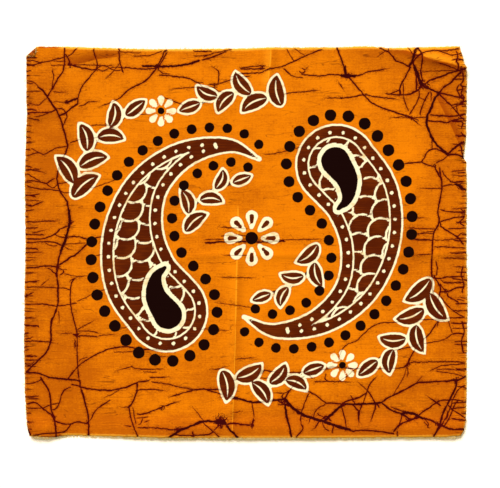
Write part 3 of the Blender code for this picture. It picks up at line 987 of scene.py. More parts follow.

# %% [markdown]
# ## Short cracks, and painted light and shade along the folds
#
# Short cracks run in from the two sides, where the folded cloth was squeezed. Only the row where
# each one starts is placed, and its length, slope and width are left to chance. Light and shade
# are painted along the folds: a line with painted shade on one side and painted light on the
# other, and three pale painted highlights along crests.

# %% The short cracks, and the painted light and shade of the folds
LEFT_TICKS = [
    58, 65, 72, 76, 83, 92, 98, 104, 109, 113, 125, 131, 137, 143, 149, 161, 166, 170, 175, 182,
    195, 200, 205, 211, 216, 228, 235, 248, 253, 260, 273, 282, 296, 311, 318, 325, 334, 347, 351,
    356, 363, 366, 378, 390, 397, 413, 421, 428,
]
RIGHT_TICKS = [
    56, 60, 76, 87, 91, 101, 106, 111, 121, 127, 136, 144, 150, 163, 170, 176, 190, 196, 203, 208,
    222, 235, 241, 253, 267, 272, 280, 299, 304, 311, 323, 328, 341, 345, 353, 369, 388, 402, 413,
    420,
]
LEFT_CUT_PIXEL = 23
RIGHT_CUT_PIXEL = 468
TICK_LENGTH = (5, 17)
TICK_RISE = (-1.5, 1.5)
TICK_WIDTH = (0.5, 1.2)


def edge_ticks():
    """The short cracks along both sides, each a vein of three points."""
    ticks = []
    for rows, start, inwards in ((LEFT_TICKS, LEFT_CUT_PIXEL, 1), (RIGHT_TICKS, RIGHT_CUT_PIXEL, -1)):
        for row in rows:
            length, rise = chance.uniform(*TICK_LENGTH), chance.uniform(*TICK_RISE)
            middle = (start + inwards * length / 2, row + rise * 0.3)
            end = (start + inwards * length, row + rise)
            ticks.append(Vein(chance.uniform(*TICK_WIDTH), [(start, row), middle, end]))
    return ticks


# Painted light and shade along the folds: shade is how much painted shadow lies on one side of each line,
# glow how much painted highlight lies on the other.
Mark = namedtuple("Mark", "shade glow points")
PAINTED_FOLD_SHADING = [
    Mark(0.10, 0.15, [(238, 205), (238, 230), (237, 262)]),
    Mark(0.20, 0.10, [(237, 262), (235.5, 320), (235, 350), (232, 437)]),
    Mark(0.12, 0.40, [(272, 47), (271.6, 60), (270, 72), (269, 90)]),
    Mark(0.90, 0.00, [(435, 96), (439.5, 105), (446, 118), (452, 130), (458, 144)]),
    Mark(0.90, 0.50, [(472, 70), (458, 66.5), (445, 63), (430, 59.5), (405, 50.5), (390, 48)]),
    Mark(0.85, 0.12, [(64, 67), (76, 64.5), (86, 62.5), (96, 60), (106, 58.5), (120, 57)]),
]
# Pale highlights painted along the crests of the sharpest creases.
PAINTED_CREST_HIGHLIGHTS = [
    Vein(1.5, [(238, 205), (238, 230), (237, 262), (235.5, 325)]),
    Vein(0.8, [(235.5, 325), (235, 350), (232, 437)]),
    Vein(1.0, [(270.8, 48), (270.4, 60), (268.8, 74), (267.8, 90)]),
]

print(len(LEFT_TICKS) + len(RIGHT_TICKS), "short cracks,", len(PAINTED_FOLD_SHADING), "painted fold shading")

# %% [markdown]
# ## From veins to layers
#
# Two veins that meet would spoil each other's signed distance, so no layer holds veins closer than
# a few squares. Each vein, longest first, goes to the first layer where it has room. Around every
# vein the layer then keeps three numbers: the signed distance, the width there, which shrinks
# towards an end in open ground, and how dark the dye ran.

# %% Sort the veins into layers and measure them
CLOTH_MIDDLE_PIXEL = (245.75, 242.0)
VEIN_ROOM = 9.0
VEIN_REACH = 3.4
VEIN_SHAKE = 0.22
TAPER = 7.0
JOIN = 5.0
THIN_END = 0.25
PALE_END = 0.60
END_CAP = 0.8
PATH_STEP = 2.2
MARK_STEP = 4.0
MARK_REACH = 12.0
Layer = namedtuple("Layer", "paths distance width strength")


def new_layer(far=9.0):
    return Layer([], np.full(len(places), far), np.zeros(len(places)), np.zeros(len(places)))


def from_photo(points):
    """Pixels of the photograph as millimetres on the cloth."""
    away = np.array(points, float) - CLOTH_MIDDLE_PIXEL
    return np.column_stack([away[:, 0], -away[:, 1]]) * PIXEL


def over_fold(line):
    """Places seen on the turned-over corner, as the flat places that lie there."""
    ahead = (line - np.array(FOLD_START)) @ np.array(FOLD_OUT)
    return line - 2 * ahead[:, None] * np.array(FOLD_OUT)


def is_free(end, path, others):
    """Whether a line's end stops in the open, clear of every other line and of the cut edges."""
    left, right, bottom, top = sides(end[:1], end[1:])
    inside = min(end[0] - left[0], right[0] - end[0], end[1] - bottom[0], top[0] - end[1])
    apart = [np.hypot(*(other - end).T).min() for other in others if other is not path]
    return inside > JOIN and min(apart) > JOIN


def lay_line(layer, path, width, free_start=True, free_end=True, reach=VEIN_REACH):
    """Writes one line's distance, width and strength into a layer. Free ends run thin and pale."""
    low, high = path.min(axis=0) - 2 * reach, path.max(axis=0) + 2 * reach
    near = np.flatnonzero(((places > low) & (places < high)).all(axis=1))
    travelled = np.concatenate([[0], np.cumsum(np.hypot(*np.diff(path, axis=0).T))])
    best = np.full(len(near), 2 * reach)
    signed = np.zeros(len(near))
    along = np.zeros(len(near))
    beyond = np.zeros(len(near))
    for start, end, so_far in zip(path, path[1:], travelled):
        run = end - start
        length = math.hypot(*run)
        away = places[near] - start
        projected = (away @ run) / length ** 2
        ahead = np.clip(projected, 0, 1)
        gap = np.hypot(away[:, 0] - ahead * run[0], away[:, 1] - ahead * run[1])
        closer = gap < best
        side = np.where(run[0] * away[:, 1] - run[1] * away[:, 0] < 0, -1, 1)
        best = np.where(closer, gap, best)
        signed = np.where(closer, side * gap, signed)
        along = np.where(closer, so_far + ahead * length, along)
        beyond = np.where(closer, abs(projected - ahead) * length, beyond)
    taken = np.flatnonzero(best < np.minimum(abs(layer.distance[near]), 2 * reach))
    taper = min(TAPER, travelled[-1] / 2)
    from_start = along if free_start else taper
    from_end = travelled[-1] - along if free_end else taper
    ends = smooth(np.minimum(from_start, from_end) / taper) + np.zeros(len(near))
    past_end = (beyond > END_CAP) & ((along <= 0) | (along >= travelled[-1]))
    drawn = (best < reach) & ~past_end
    layer.paths.append(path)
    layer.distance[near[taken]] = signed[taken]
    layer.width[near[taken]] = (width * (THIN_END + (1 - THIN_END) * ends) * drawn)[taken]
    layer.strength[near[taken]] = (PALE_END + (1 - PALE_END) * ends)[taken]


rib_layer = new_layer()
for rib in ribs:
    lay_line(rib_layer, rib, LEAF_RIB)
layers = []
laid = []
for vein in ALL_VEINS + edge_ticks():
    path = smooth_path(from_photo(vein.points), step=PATH_STEP)
    path[1:-1] += chance.normal(0, VEIN_SHAKE, path[1:-1].shape)
    laid.append((path, vein.width))
for vein in FLAP_VEINS:
    laid.append((smooth_path(over_fold(from_photo(vein.points)), step=PATH_STEP), vein.width))
laid.sort(key=lambda item: -len(item[0]))
paths = [path for path, _ in laid]
for path, width in laid:
    for layer in layers:
        gaps = [np.hypot(*(path[:, None] - other[None]).transpose(2, 0, 1)).min() for other in layer.paths]
        if min(gaps) > VEIN_ROOM:
            break
    else:
        layer = new_layer()
        layers.append(layer)
    lay_line(layer, path, width, is_free(path[0], path, paths), is_free(path[-1], path, paths))
# The painted shade goes into strength and the painted glow into width.
marks = new_layer(2 * MARK_REACH)
for mark in PAINTED_FOLD_SHADING:
    path = smooth_path(from_photo(mark.points), step=MARK_STEP)
    before = marks.distance.copy()
    lay_line(marks, path, 1.0, reach=MARK_REACH)
    changed = marks.distance != before
    marks.strength[changed] *= mark.shade * (marks.width[changed] > 0)
    marks.width[changed] *= mark.glow
# The painted crest highlights have a layer of their own.
crest_highlight_layer = new_layer()
for line in PAINTED_CREST_HIGHLIGHTS:
    lay_line(crest_highlight_layer, smooth_path(from_photo(line.points), step=MARK_STEP), line.width)
print(len(layers), "layers hold", [len(layer.paths) for layer in layers], "veins")

# %% [markdown]
# ## Knots, and the ground's tone
#
# Where veins meet, the wax broke into crumbs and the dye pooled in a dark knot. The golden ground
# itself is palest in the middle and browner towards the margins and the bottom, partly as uneven
# dye and partly as painted light and shade, such as a paler patch where the creases cross. Soft
# oval clouds, each with a middle, two half widths and a depth, add that up. Both change slowly
# over the cloth, so one number at each corner of the mesh is enough.

# %% Knots and clouds
Knot = namedtuple("Knot", "x y radius")
KNOTS = [
    Knot(221, 421, 7.4), Knot(162, 408, 3.0), Knot(283, 401, 4.2), Knot(178, 429, 3.6),
    Knot(325, 419, 3.4),
    Knot(348, 76, 4.4), Knot(422, 85, 5.0), Knot(427, 86, 3.4), Knot(439, 93, 3.2), Knot(157, 67, 3.6),
    Knot(70, 65, 3.0), Knot(66, 237, 3.2), Knot(58, 267, 2.8), Knot(456, 380, 3.8), Knot(404, 413, 3.6),
    Knot(438, 424, 3.4), Knot(408, 364, 2.8), Knot(460, 186, 3.6), Knot(463, 212, 2.8), Knot(448, 154, 3.0),
    Knot(54, 418, 3.0), Knot(77, 335, 3.0), Knot(261, 372, 2.8), Knot(461, 70, 3.6), Knot(343, 405, 3.0),
    Knot(446, 291, 3.0), Knot(462, 97, 2.8), Knot(438, 320, 2.8), Knot(88, 422, 2.4), Knot(67, 102, 3.0),
    Knot(460, 116, 2.6), Knot(52.5, 88, 2.4), Knot(165.5, 51.5, 2.6), Knot(215, 85, 2.6),
    Knot(411, 118, 2.6),
    Knot(113, 128, 2.4), Knot(252, 424, 2.8), Knot(26.5, 296, 2.6),
    Knot(435, 166, 2.4), Knot(341, 98, 2.2), Knot(364, 95, 2.4), Knot(262, 68, 3.0), Knot(92, 240, 2.6),
    Knot(461, 98, 2.6), Knot(462, 102, 2.4), Knot(417, 73, 3.0), Knot(421, 82, 4.4), Knot(463, 217, 2.6),
    Knot(70, 222, 3.0), Knot(193, 435, 2.6), Knot(415, 52, 2.4), Knot(463, 143, 2.6), Knot(463, 157, 2.6),
]
Cloud = namedtuple("Cloud", "x y wide high depth")
# Partly uneven dye, partly painted light and shade: the pale cloud at (-6, -24) is painted light where the
# creases cross, and the dark ones along the bottom are partly painted shade along the lifted edge.
CLOUDS = [
    Cloud(-212, 40, 34, 170, 0.55), Cloud(-196, -150, 44, 70, 0.36), Cloud(-212, 150, 24, 40, 0.25),
    Cloud(0, -193, 260, 17, 0.62), Cloud(130, -176, 90, 40, 0.40), Cloud(214, -60, 22, 200, 0.30),
    Cloud(180, 160, 46, 30, 0.50), Cloud(205, 110, 34, 60, 0.35), Cloud(-160, 190, 60, 9, 0.30),
    Cloud(190, 20, 30, 60, 0.18), Cloud(-120, -96, 60, 50, 0.12), Cloud(-60, -60, 60, 60, 0.20),
    Cloud(60, 190, 160, 20, 0.22), Cloud(-190, 96, 24, 40, 0.40),
    Cloud(10, -6, 50, 44, -0.22), Cloud(-90, 60, 60, 40, 0.14), Cloud(110, 40, 60, 40, -0.22),
    Cloud(120, -120, 50, 40, -0.20),
    Cloud(-6, -24, 16, 14, -0.40), Cloud(0, -85, 40, 60, -0.22), Cloud(-140, 168, 60, 26, 0.14),
    Cloud(95, -192, 24, 9, 0.30), Cloud(205, 190, 36, 8, -0.15), Cloud(60, -55, 40, 40, -0.28),
    Cloud(167, -60, 13, 85, 0.34), Cloud(100, -128, 30, 20, -0.25), Cloud(-128, 48, 16, 40, -0.35),
    Cloud(-78, 134, 22, 14, -0.30), Cloud(4, 44, 15, 15, 0.35), Cloud(165, 93, 16, 20, -0.30),
    Cloud(-209, -186, 20, 12, 0.30), Cloud(128, 189, 20, 9, 0.30), Cloud(-209, 189, 16, 10, -0.30),
    Cloud(5, 164, 50, 12, -0.20), Cloud(-50, -160, 70, 16, -0.20), Cloud(-127, -188, 22, 12, 0.55),
    Cloud(126, -188, 24, 10, 0.45), Cloud(122, 189, 20, 9, 0.25), Cloud(-167, -140, 20, 12, 0.40),
    Cloud(-36, -140, 18, 12, 0.45), Cloud(167, -140, 16, 12, 0.50), Cloud(167, -108, 14, 12, 0.25),
    Cloud(167, 2, 14, 22, 0.40), Cloud(-36, 189, 20, 9, 0.28), Cloud(-128, 134, 12, 10, 0.40),
]
BASE_TONE = 0.29
TONE_RISE = 0.0008

knots = np.zeros(len(places))
for knot in KNOTS:
    x, y = from_photo([(knot.x, knot.y)])[0]
    knots = np.maximum(knots, 1 - np.hypot(places[:, 0] - x, places[:, 1] - y) / (2 * knot.radius))
tone = np.full(len(places), BASE_TONE)
for cloud in CLOUDS:
    spread = ((places[:, 0] - cloud.x) / cloud.wide) ** 2 + ((places[:, 1] - cloud.y) / cloud.high) ** 2
    tone += cloud.depth * np.exp(-spread)
tone = np.clip(tone - places[:, 1] * TONE_RISE, 0, 1)
left, right, bottom, top = sides(places[:, 0], places[:, 1])
to_side = np.minimum(places[:, 0] - left, right - places[:, 0])
to_end = np.minimum(places[:, 1] - bottom, top - places[:, 1])
to_left = places[:, 0] - left
to_vein = np.min([abs(layer.distance) for layer in layers], axis=0)
print("tone", tone.min().round(2), "to", tone.max().round(2))

# %% [markdown]
# ## Store the dye on the mesh
#
# A mesh can carry any number of named values on its corners, and one vector attribute holds three
# numbers. The body, cream and dark fields share one, and the leaf ribs and the stems another. The
# ground's tone, its knots and the distance to the nearest vein go together, and so do the
# distances to the cuts. The painted light and shade of the folds, the painted crest highlights and
# each layer of veins have one each. Modifiers and the later folding keep them.

# %% Write the attributes
EDGE_CAP = 40


def store(name, *values):
    """Keeps one, two or three numbers for each point as a vector attribute."""
    triple = np.zeros((len(places), 3), np.float32)
    for column, value in enumerate(values):
        triple[:, column] = value
    attribute = sheet.attributes.new(name, "FLOAT_VECTOR", "POINT")
    attribute.data.foreach_set("vector", triple.ravel())


store("dyes", dyes["body"], dyes["cream"], dyes["dark"])
store("ribs", rib_layer.distance, rib_layer.width, dyes["stem"])
store("ground", tone, np.clip(knots, 0, 1), to_vein)
store("edges", *[np.clip(distance, 0, EDGE_CAP) for distance in (to_side, to_end, to_left)])
# Painted shade and light of the folds, then the painted crest highlights.
store("marks", marks.distance, marks.strength, marks.width)
store("crest_highlights", crest_highlight_layer.distance, crest_highlight_layer.width)
for number, layer in enumerate(layers):
    store(f"veins_{number}", layer.distance, layer.width, layer.strength)
print(len(sheet.attributes), "attributes on the sheet")

# %% [markdown]
# ## Creases and the lifted edge
#
# Now the flat sheet gets its lie. The large folds are those of the imported solid: soft ridges along
# straight lines, each steeper on one side, and a low roll along the bottom edge. A real cloth has
# small ripples on top of those, so a sum of long waves adds a fraction of a millimetre. A cloth
# simulation would find folds of its own, so the ones that the photograph shows are given one by one.

# %% Raise the sheet
Crease = namedtuple("Crease", "name x1 y1 x2 y2 height left right fade_in fade_out crisp")
CREASES = [
    Crease("corner_ridge", 126, 199, 228, 176, 5.2, 24, 20, 70, 0, True),
    Crease("right_ridge", 188, 153, 219, 86, 2.2, 24, 14, 26, 0, True),
    Crease("centre_crease", -5, 38, -16, -205, 1.6, 9, 14, 24, 0, True),
    Crease("upper_crease", 27, 205, 22, 140, 1.3, 8, 8, 0, 30, False),
    Crease("cross_crease", -70, -14, 232, -12, 1.2, 8, 8, 30, 0, True),
    Crease("top_left_ripple", -186, 194, -128, 197, 1.6, 7, 14, 16, 20, False),
    Crease("left_tuck", -230, 127, -184, 134, 1.4, 9, 9, 0, 24, False),
]
Lift = namedtuple("Lift", "x height")
BOTTOM_LIFT = [
    Lift(-225, 3.4), Lift(-206, 4.4), Lift(-190, 2.4), Lift(-178, 0.4), Lift(-166, 0.2),
    Lift(-145, 1.2), Lift(-110, 2.4), Lift(-75, 3.2), Lift(-45, 2.9), Lift(-10, 3.6), Lift(30, 3.0),
    Lift(70, 3.2), Lift(110, 2.6), Lift(150, 2.6), Lift(185, 2.3), Lift(207, 3.4), Lift(225, 2.6),
]
LIFT_DEPTH = 24.0
LIFT_CREST = 8.0
EDGE_DROP = 0.12
RIPPLES = 14
RIPPLE_HEIGHT = 0.28
RIPPLE_LENGTH = (28, 90)
RIPPLE_SPREAD = 0.5


def crease_height(crease, x, y):
    """How high one crease lifts the cloth."""
    run = np.array([crease.x2 - crease.x1, crease.y2 - crease.y1], float)
    length = math.hypot(*run)
    along = ((x - crease.x1) * run[0] + (y - crease.y1) * run[1]) / length
    side = (run[0] * (y - crease.y1) - run[1] * (x - crease.x1)) / length
    spread = np.where(side > 0, crease.left, crease.right)
    share = np.clip(1 - abs(side) / spread, 0, 1)
    height = crease.height * (share ** 2 if crease.crisp else smooth(share))
    if crease.fade_in:
        height = height * smooth(along / crease.fade_in)
    if crease.fade_out:
        height = height * smooth((length - along) / crease.fade_out)
    return np.where((along > 0) & (along < length), height, 0.0)


def edge_lift(x, y):
    """How high the bottom edge stands: a low roll whose crest lies a little way in."""
    from_edge = y + HALF_HEIGHT - between(BOTTOM_EDGE, x)
    height = between(BOTTOM_LIFT, x)
    inner = height * smooth((LIFT_DEPTH - from_edge) / (LIFT_DEPTH - LIFT_CREST))
    outer = height * (1 - EDGE_DROP * smooth(1 - from_edge / LIFT_CREST))
    return np.where(from_edge > LIFT_CREST, inner, outer)


def ripples(x, y):
    """Long low waves, from 0 up."""
    height = np.zeros(len(x))
    for _ in range(RIPPLES):
        direction = chance.normal(math.pi / 2, RIPPLE_SPREAD)
        wave = chance.uniform(*RIPPLE_LENGTH)
        phase = chance.uniform(0, 2 * math.pi)
        ahead = x * math.cos(direction) + y * math.sin(direction)
        height += np.sin(ahead * 2 * math.pi / wave + phase)
    return RIPPLE_HEIGHT * (1 + height / math.sqrt(RIPPLES / 2) / 2).clip(0)


x, y = places[:, 0], places[:, 1]
rise = np.max([crease_height(crease, x, y) for crease in CREASES] + [edge_lift(x, y)], axis=0)
rise = rise + ripples(x, y)
print("creases:", ", ".join(crease.name for crease in CREASES))
print("the cloth rises to", rise.max().round(2), "mm")

# %% [markdown]
# ## The folded corner
#
# The top left corner is turned over on itself. Past the fold's line each place first rolls round a
# half circle and then lies back over the cloth, face down. The same rule moves every point, so
# the design and the crackle go with it.

# %% Fold the corner and set the points
def fold(x, y, rise):
    """Flat places and their heights, with those past the fold's line rolled over and laid back."""
    past_bend = (x - FOLD_START.x) * FOLD_OUT.x + (y - FOLD_START.y) * FOLD_OUT.y + FOLD_RADIUS
    turn = np.clip(past_bend / FOLD_RADIUS, 0, math.pi)
    laid_back = np.maximum(past_bend - math.pi * FOLD_RADIUS, 0)
    shift = np.where(past_bend > 0, FOLD_RADIUS * np.sin(turn) - laid_back - past_bend, 0)
    lifted = rise + FOLD_RADIUS * (1 - np.cos(turn))
    return np.column_stack([x + FOLD_OUT.x * shift, y + FOLD_OUT.y * shift, lifted])


folded = fold(x, y, rise)
sheet.vertices.foreach_set("co", (folded * MM).ravel().astype(np.float32))
sheet.update()
sheet.shade_smooth()
print("turned over:", int((folded[:, 2] > rise + FOLD_RADIUS).sum()), "points")

# %% [markdown]
# ## Thickness
#
# Plain cotton is about a third of a millimetre thick. A Solidify modifier closes the sheet into a
# thin solid. It can also tell the two faces and the cut rim apart, by giving the new faces the
# next materials in the list: the dyed face first, then the reverse, then the raw edge.

# %% Give the sheet its body
body = cloth.modifiers.new("thickness", "SOLIDIFY")
body.thickness = SHEET * MM
body.offset = 1.0
body.use_even_offset = False
body.use_rim = True
body.material_offset = 1
body.material_offset_rim = 2
print("sheet", SHEET, "mm thick")

# %% [markdown]
# ## Shader sums
#
# A material is a small graph of nodes. Written as sums it is far easier to read, so one class
# stands for "a value somewhere in the graph": adding, multiplying or comparing two of them adds
# the Math node that does it.

# %% A class for values
class Signal:
    """A value inside a material. Python's own signs on it add Math nodes."""

    def __init__(self, finish, socket):
        self.finish = finish
        self.socket = socket

    def sum(self, operation, *others):
        """One Math node on this value and any others."""
        inputs = dict(enumerate((self,) + others))
        return self.finish.node("ShaderNodeMath", {"operation": operation}, inputs)

    def most(self, other):
        """The larger of two values."""
        return self.sum("MAXIMUM", other)

    def least(self, other):
        """The smaller of two values."""
        return self.sum("MINIMUM", other)

    def __add__(self, other):
        return self.sum("ADD", other)

    def __mul__(self, other):
        return self.sum("MULTIPLY", other)

    def __sub__(self, other):
        return self.sum("SUBTRACT", other)

    def __rsub__(self, other):
        return (self * -1) + other

    def __abs__(self):
        return self.sum("ABSOLUTE")

    __radd__ = __add__
    __rmul__ = __mul__


print("a signal can be added, multiplied and compared")

# %% [markdown]
# ## Finishes
#
# The second class stands for one material. Every node goes through its method `node`, which sets
# the node's own settings first and then its sockets. The other methods are what the finishes are
# made of: a soft step and its opposite, a blend of two colours, and the numbers kept on the mesh.

# %% A class for finishes
class Finish:
    """A material under construction."""

    def __init__(self, name):
        self.material = bpy.data.materials.new(name)
        self.material.use_nodes = True
        self.tree = self.material.node_tree
        self.shader = self.tree.nodes["Principled BSDF"]

    def node(self, kind, settings=None, inputs=None, output=0):
        """Adds a node, sets it up, feeds its sockets and gives back one of its outputs."""
        made = self.tree.nodes.new(kind)
        for name, value in (settings or {}).items():
            setattr(made, name, value)
        self.feed(made, inputs or {})
        return Signal(self, made.outputs[output])

    def feed(self, node, inputs):
        """Links signals to a node's sockets, or sets their plain values."""
        for name, value in inputs.items():
            if isinstance(value, Signal):
                self.tree.links.new(value.socket, node.inputs[name])
            else:
                node.inputs[name].default_value = value

    def step(self, value, low, high):
        """0 below low, 1 above high, smooth between them. The bounds may be signals."""
        settings = {"interpolation_type": "SMOOTHSTEP"}
        return self.node("ShaderNodeMapRange", settings, {"Value": value, "From Min": low, "From Max": high})

    def below(self, value, low, high):
        """The opposite of a step: 1 below low, 0 above high."""
        return 1 - self.step(value, low, high)

    def blend(self, share, first, second):
        """Two colours mixed by a share of the second."""
        return self.node("ShaderNodeMix", {"data_type": "RGBA"}, {0: share, 6: first, 7: second}, output=2)

    def parts(self, vector):
        """The three numbers of a vector."""
        split = self.node("ShaderNodeSeparateXYZ", None, {0: vector})
        return [Signal(self, socket) for socket in split.socket.node.outputs]

    def numbers(self, name):
        """The three numbers of a vector attribute."""
        return self.parts(self.node("ShaderNodeAttribute", {"attribute_name": name}, output=1))


print("a finish starts from Blender's own Principled shader")

# %% [markdown]
# ## Colours
#
# Each colour is picked from the picture, where it is already mixed with the light. One
# factor each for red, green and blue takes the light out again, so that the render comes out in
# the picture's colours.

# %% The dyes
UNDER_LIGHT = (0.78, 0.875, 1.05)


def linear(red, green, blue):
    """A colour of the picture, 0 to 255, as the share of this scene's light that it gives back."""
    shares = [value / 255 for value in (red, green, blue)]
    bright = [s / 12.92 if s <= 0.04045 else ((s + 0.055) / 1.055) ** 2.4 for s in shares]
    return tuple(b * under for b, under in zip(bright, UNDER_LIGHT)) + (1.0,)


GOLD = linear(230, 125, 1)
GOLD_RED = linear(234, 118, 1)
GOLD_DEEP = linear(183, 89, 1)
# Painted shade and painted light for the folds and their crests.
GOLD_SHADE = linear(158, 66, 0)
GOLD_PAINTED_LIGHT = linear(246, 158, 24)
# The pale rim of the cuts: partly the raw edge's own colour, partly a painted highlight.
GOLD_RIM_AND_HIGHLIGHT = linear(252, 178, 50)
# Brown of the stains along the sides, also used as painted shade on the turned-over corner.
STAIN_AND_SHADE_BROWN = linear(150, 54, 2)
BROWN = linear(80, 24, 1)
BROWN_LIGHT = linear(104, 38, 2)
DARK = linear(20, 2, 1)
CREAM = linear(252, 240, 196)
CREAM_STAIN = linear(228, 200, 140)
CRACK = linear(76, 3, 2)
CRACK_HEART = linear(46, 2, 4)
CRACK_HALO = linear(150, 46, 0)
CRACK_ON_CREAM = linear(120, 88, 56)
STRAW = linear(244, 182, 84)
THREAD_PALE = linear(252, 232, 160)
THREAD_DEEP = linear(236, 172, 62)
print("the gold ground gives back", [round(share, 3) for share in GOLD[:3]], "of the light")

# %% [markdown]
# ## Noise in the cotton
#
# Nothing in hand-dyed cloth is even, so most steps of its finish use some noise. Each row of the
# table is one noise: how wide and high its blobs are in millimetres, a shift that keeps two noises
# apart, how many finer layers it has, and how strong those are. Slubs are thick places in the
# yarn, long and thin, along both directions of the weave.
#
# A third class adds what only the cotton needs: its flat places in millimetres, these noises, and
# the colour laid on so far. The face and the reverse are two such finishes, built side by side.

# %% Start the cotton's two finishes
Noise = namedtuple("Noise", "wide high shift detail roughness")
NOISES = {
    "slubs": Noise(26, 1.0, 0, 3.0, 0.5),
    "warp_slubs": Noise(1.1, 40, 5, 2.0, 0.5),
    "clouds": Noise(34, 22, 9, 4.0, 0.6),
    "patches": Noise(9, 6, 3, 2.0, 0.5),
    "mottle": Noise(2.4, 1.3, 21, 2.0, 0.8),
    "hand": Noise(5, 5, 2, 3.0, 0.5),
    "wander": Noise(3.2, 3.2, 7, 3.0, 0.7),
    "swell": Noise(6, 6, 4, 3.0, 0.7),
    "crumbs": Noise(2.0, 1.6, 6, 3.0, 0.7),
    "hairs": Noise(42, 6.5, 1, 1.6, 0.45),
    "hair_places": Noise(36, 9, 8, 2.0, 0.5),
    "feathers": Noise(7, 3.4, 18, 2.0, 0.6),
    "side_cracks": Noise(22, 1.9, 12, 2.0, 0.5),
    "side_reach": Noise(60, 2.6, 15, 1.0, 0.5),
}
EDGE_SOFT = 0.30


class Cotton(Finish):
    """The dyed cloth under construction."""

    def __init__(self, name):
        super().__init__(name)
        flat = self.node("ShaderNodeUVMap", {"uv_map": "flat_cloth"})
        size = (CLOTH_WIDTH, CLOTH_HEIGHT, 0.0)
        self.place = self.node("ShaderNodeVectorMath", {"operation": "MULTIPLY"}, {0: flat, 1: size})
        self.across, self.up, _ = self.parts(self.place)
        self.tone, self.knots, self.to_vein = self.numbers("ground")
        self.to_side, self.to_end, self.to_left = self.numbers("edges")
        self.noises = {}
        self.colour = GOLD

    def noise(self, name):
        """One of the named noises, from 0 to 1. It is made once and then shared."""
        if name not in self.noises:
            row = NOISES[name]
            finer = (1 / row.wide, 1 / row.high, 1.0)
            apart = (row.shift, row.shift * 1.7, 0.0)
            spot = self.node("ShaderNodeVectorMath", {"operation": "MULTIPLY"}, {0: self.place, 1: finer})
            spot = self.node("ShaderNodeVectorMath", {"operation": "ADD"}, {0: spot, 1: apart})
            inputs = {"Vector": spot, "Scale": 1.0, "Detail": row.detail, "Roughness": row.roughness}
            self.noises[name] = self.node("ShaderNodeTexNoise", {"noise_dimensions": "2D"}, inputs)
        return self.noises[name]

    def swing(self, name, amount):
        """A named noise as a swing about zero, by so much from end to end."""
        return (self.noise(name) - 0.5) * amount

    def winding_lines(self, name, thin, soft):
        """The thin winding lines along which a named noise passes its middle."""
        return self.below(abs(self.noise(name) - 0.5), thin, soft)

    def covered(self, distance):
        """How far a place is covered by a shape, from the distance to it."""
        return self.below(distance, -EDGE_SOFT, EDGE_SOFT)

    def lay(self, share, colour):
        """Lays a colour over those before it."""
        self.colour = self.blend(share, self.colour, colour)


face = Cotton("dyed_cotton_face")
reverse = Cotton("dyed_cotton_reverse")
print(len(NOISES), "noises for", face.material.name, "and", reverse.material.name)

# %% [markdown]
# ## The golden ground
#
# The colour is built in the order of the real work, and the ground comes first. Its depth, partly
# dye and partly painted light and shade, is the tone kept on the mesh plus five noises, from broad
# clouds to fine mottle. Light and shade are painted along the folds on top: each fold is painted
# darker on one side of its line and lighter on the other, and the sharpest get a pale painted
# highlight along the crest.

# %% Dye the ground and paint the light and shade of the folds
REDDER = (-110, 40)
DEPTHS = (-0.25, 1.25)
GROUND_SWINGS = {"clouds": 1.1, "patches": 0.55, "slubs": 0.80, "warp_slubs": 0.35, "mottle": 1.35}
MARK_START = (-0.3, 0.9)
MARK_FADE = (0.1 * MARK_REACH, MARK_REACH)
MARK_SWING = 5
CREST_HIGHLIGHT_SHARE = 0.7
HIGHLIGHT_FULL, HIGHLIGHT_GONE = 0.2, 0.7
HIGHLIGHT_THERE = (0.1, 0.4)


def dye_ground(cotton):
    """The ground: redder towards the bottom, and deeper where tone and noise are high."""
    depth = cotton.tone
    for name, amount in GROUND_SWINGS.items():
        depth = depth + cotton.swing(name, amount)
    cotton.lay(cotton.below(cotton.up, *REDDER), GOLD_RED)
    cotton.lay(cotton.step(depth, *DEPTHS), GOLD_DEEP)


def paint_fold_light_and_shade(cotton):
    """Painted shade on one side of each fold's line, painted light on the other, and pale painted highlights
    along the sharpest crests.
    """
    mark, shade, glow = cotton.numbers("marks")
    fading = cotton.swing("clouds", MARK_SWING)
    # Painted shade on one side of each fold's line, painted light on the other.
    shaded = cotton.step(mark, *MARK_START) * cotton.below(mark + fading, *MARK_FADE) * shade
    lit = cotton.step(mark * -1, *MARK_START) * cotton.below(fading - mark, *MARK_FADE) * glow
    cotton.lay(shaded, GOLD_SHADE)
    cotton.lay(lit, GOLD_PAINTED_LIGHT)
    # Pale painted highlights along the sharpest crests.
    line, width, _ = cotton.numbers("crest_highlights")
    pale = cotton.below(abs(line), width * HIGHLIGHT_FULL, width * HIGHLIGHT_GONE)
    pale = pale * cotton.step(width, *HIGHLIGHT_THERE)
    cotton.lay(pale * CREST_HIGHLIGHT_SHARE, GOLD_PAINTED_LIGHT)


for cotton in (face, reverse):
    dye_ground(cotton)
    paint_fold_light_and_shade(cotton)
print(len(face.tree.nodes), "nodes with the ground and its painted fold shading")

# %% [markdown]
# ## The waxed design
#
# Brown, cream and dark brown are each cut out of a distance field. A small swing is added to the
# distances first, because no hand draws a smooth edge in hot wax. The body's cream outline and
# inner line are bands of the body's own distance, and a little dye crept under the wax, which
# leaves a deeper rim round everything that is cream.

# %% Lay the design
HAND_SWING = 1.1
CREPT_IN = (0.2, 1.5)
CREPT_SHARE = 0.35
RIB_THERE = (0.05, 0.3)
FADED = (0.35, 0.85)
STAINED = (0.5, 0.85)
STAINED_SWING = 0.6


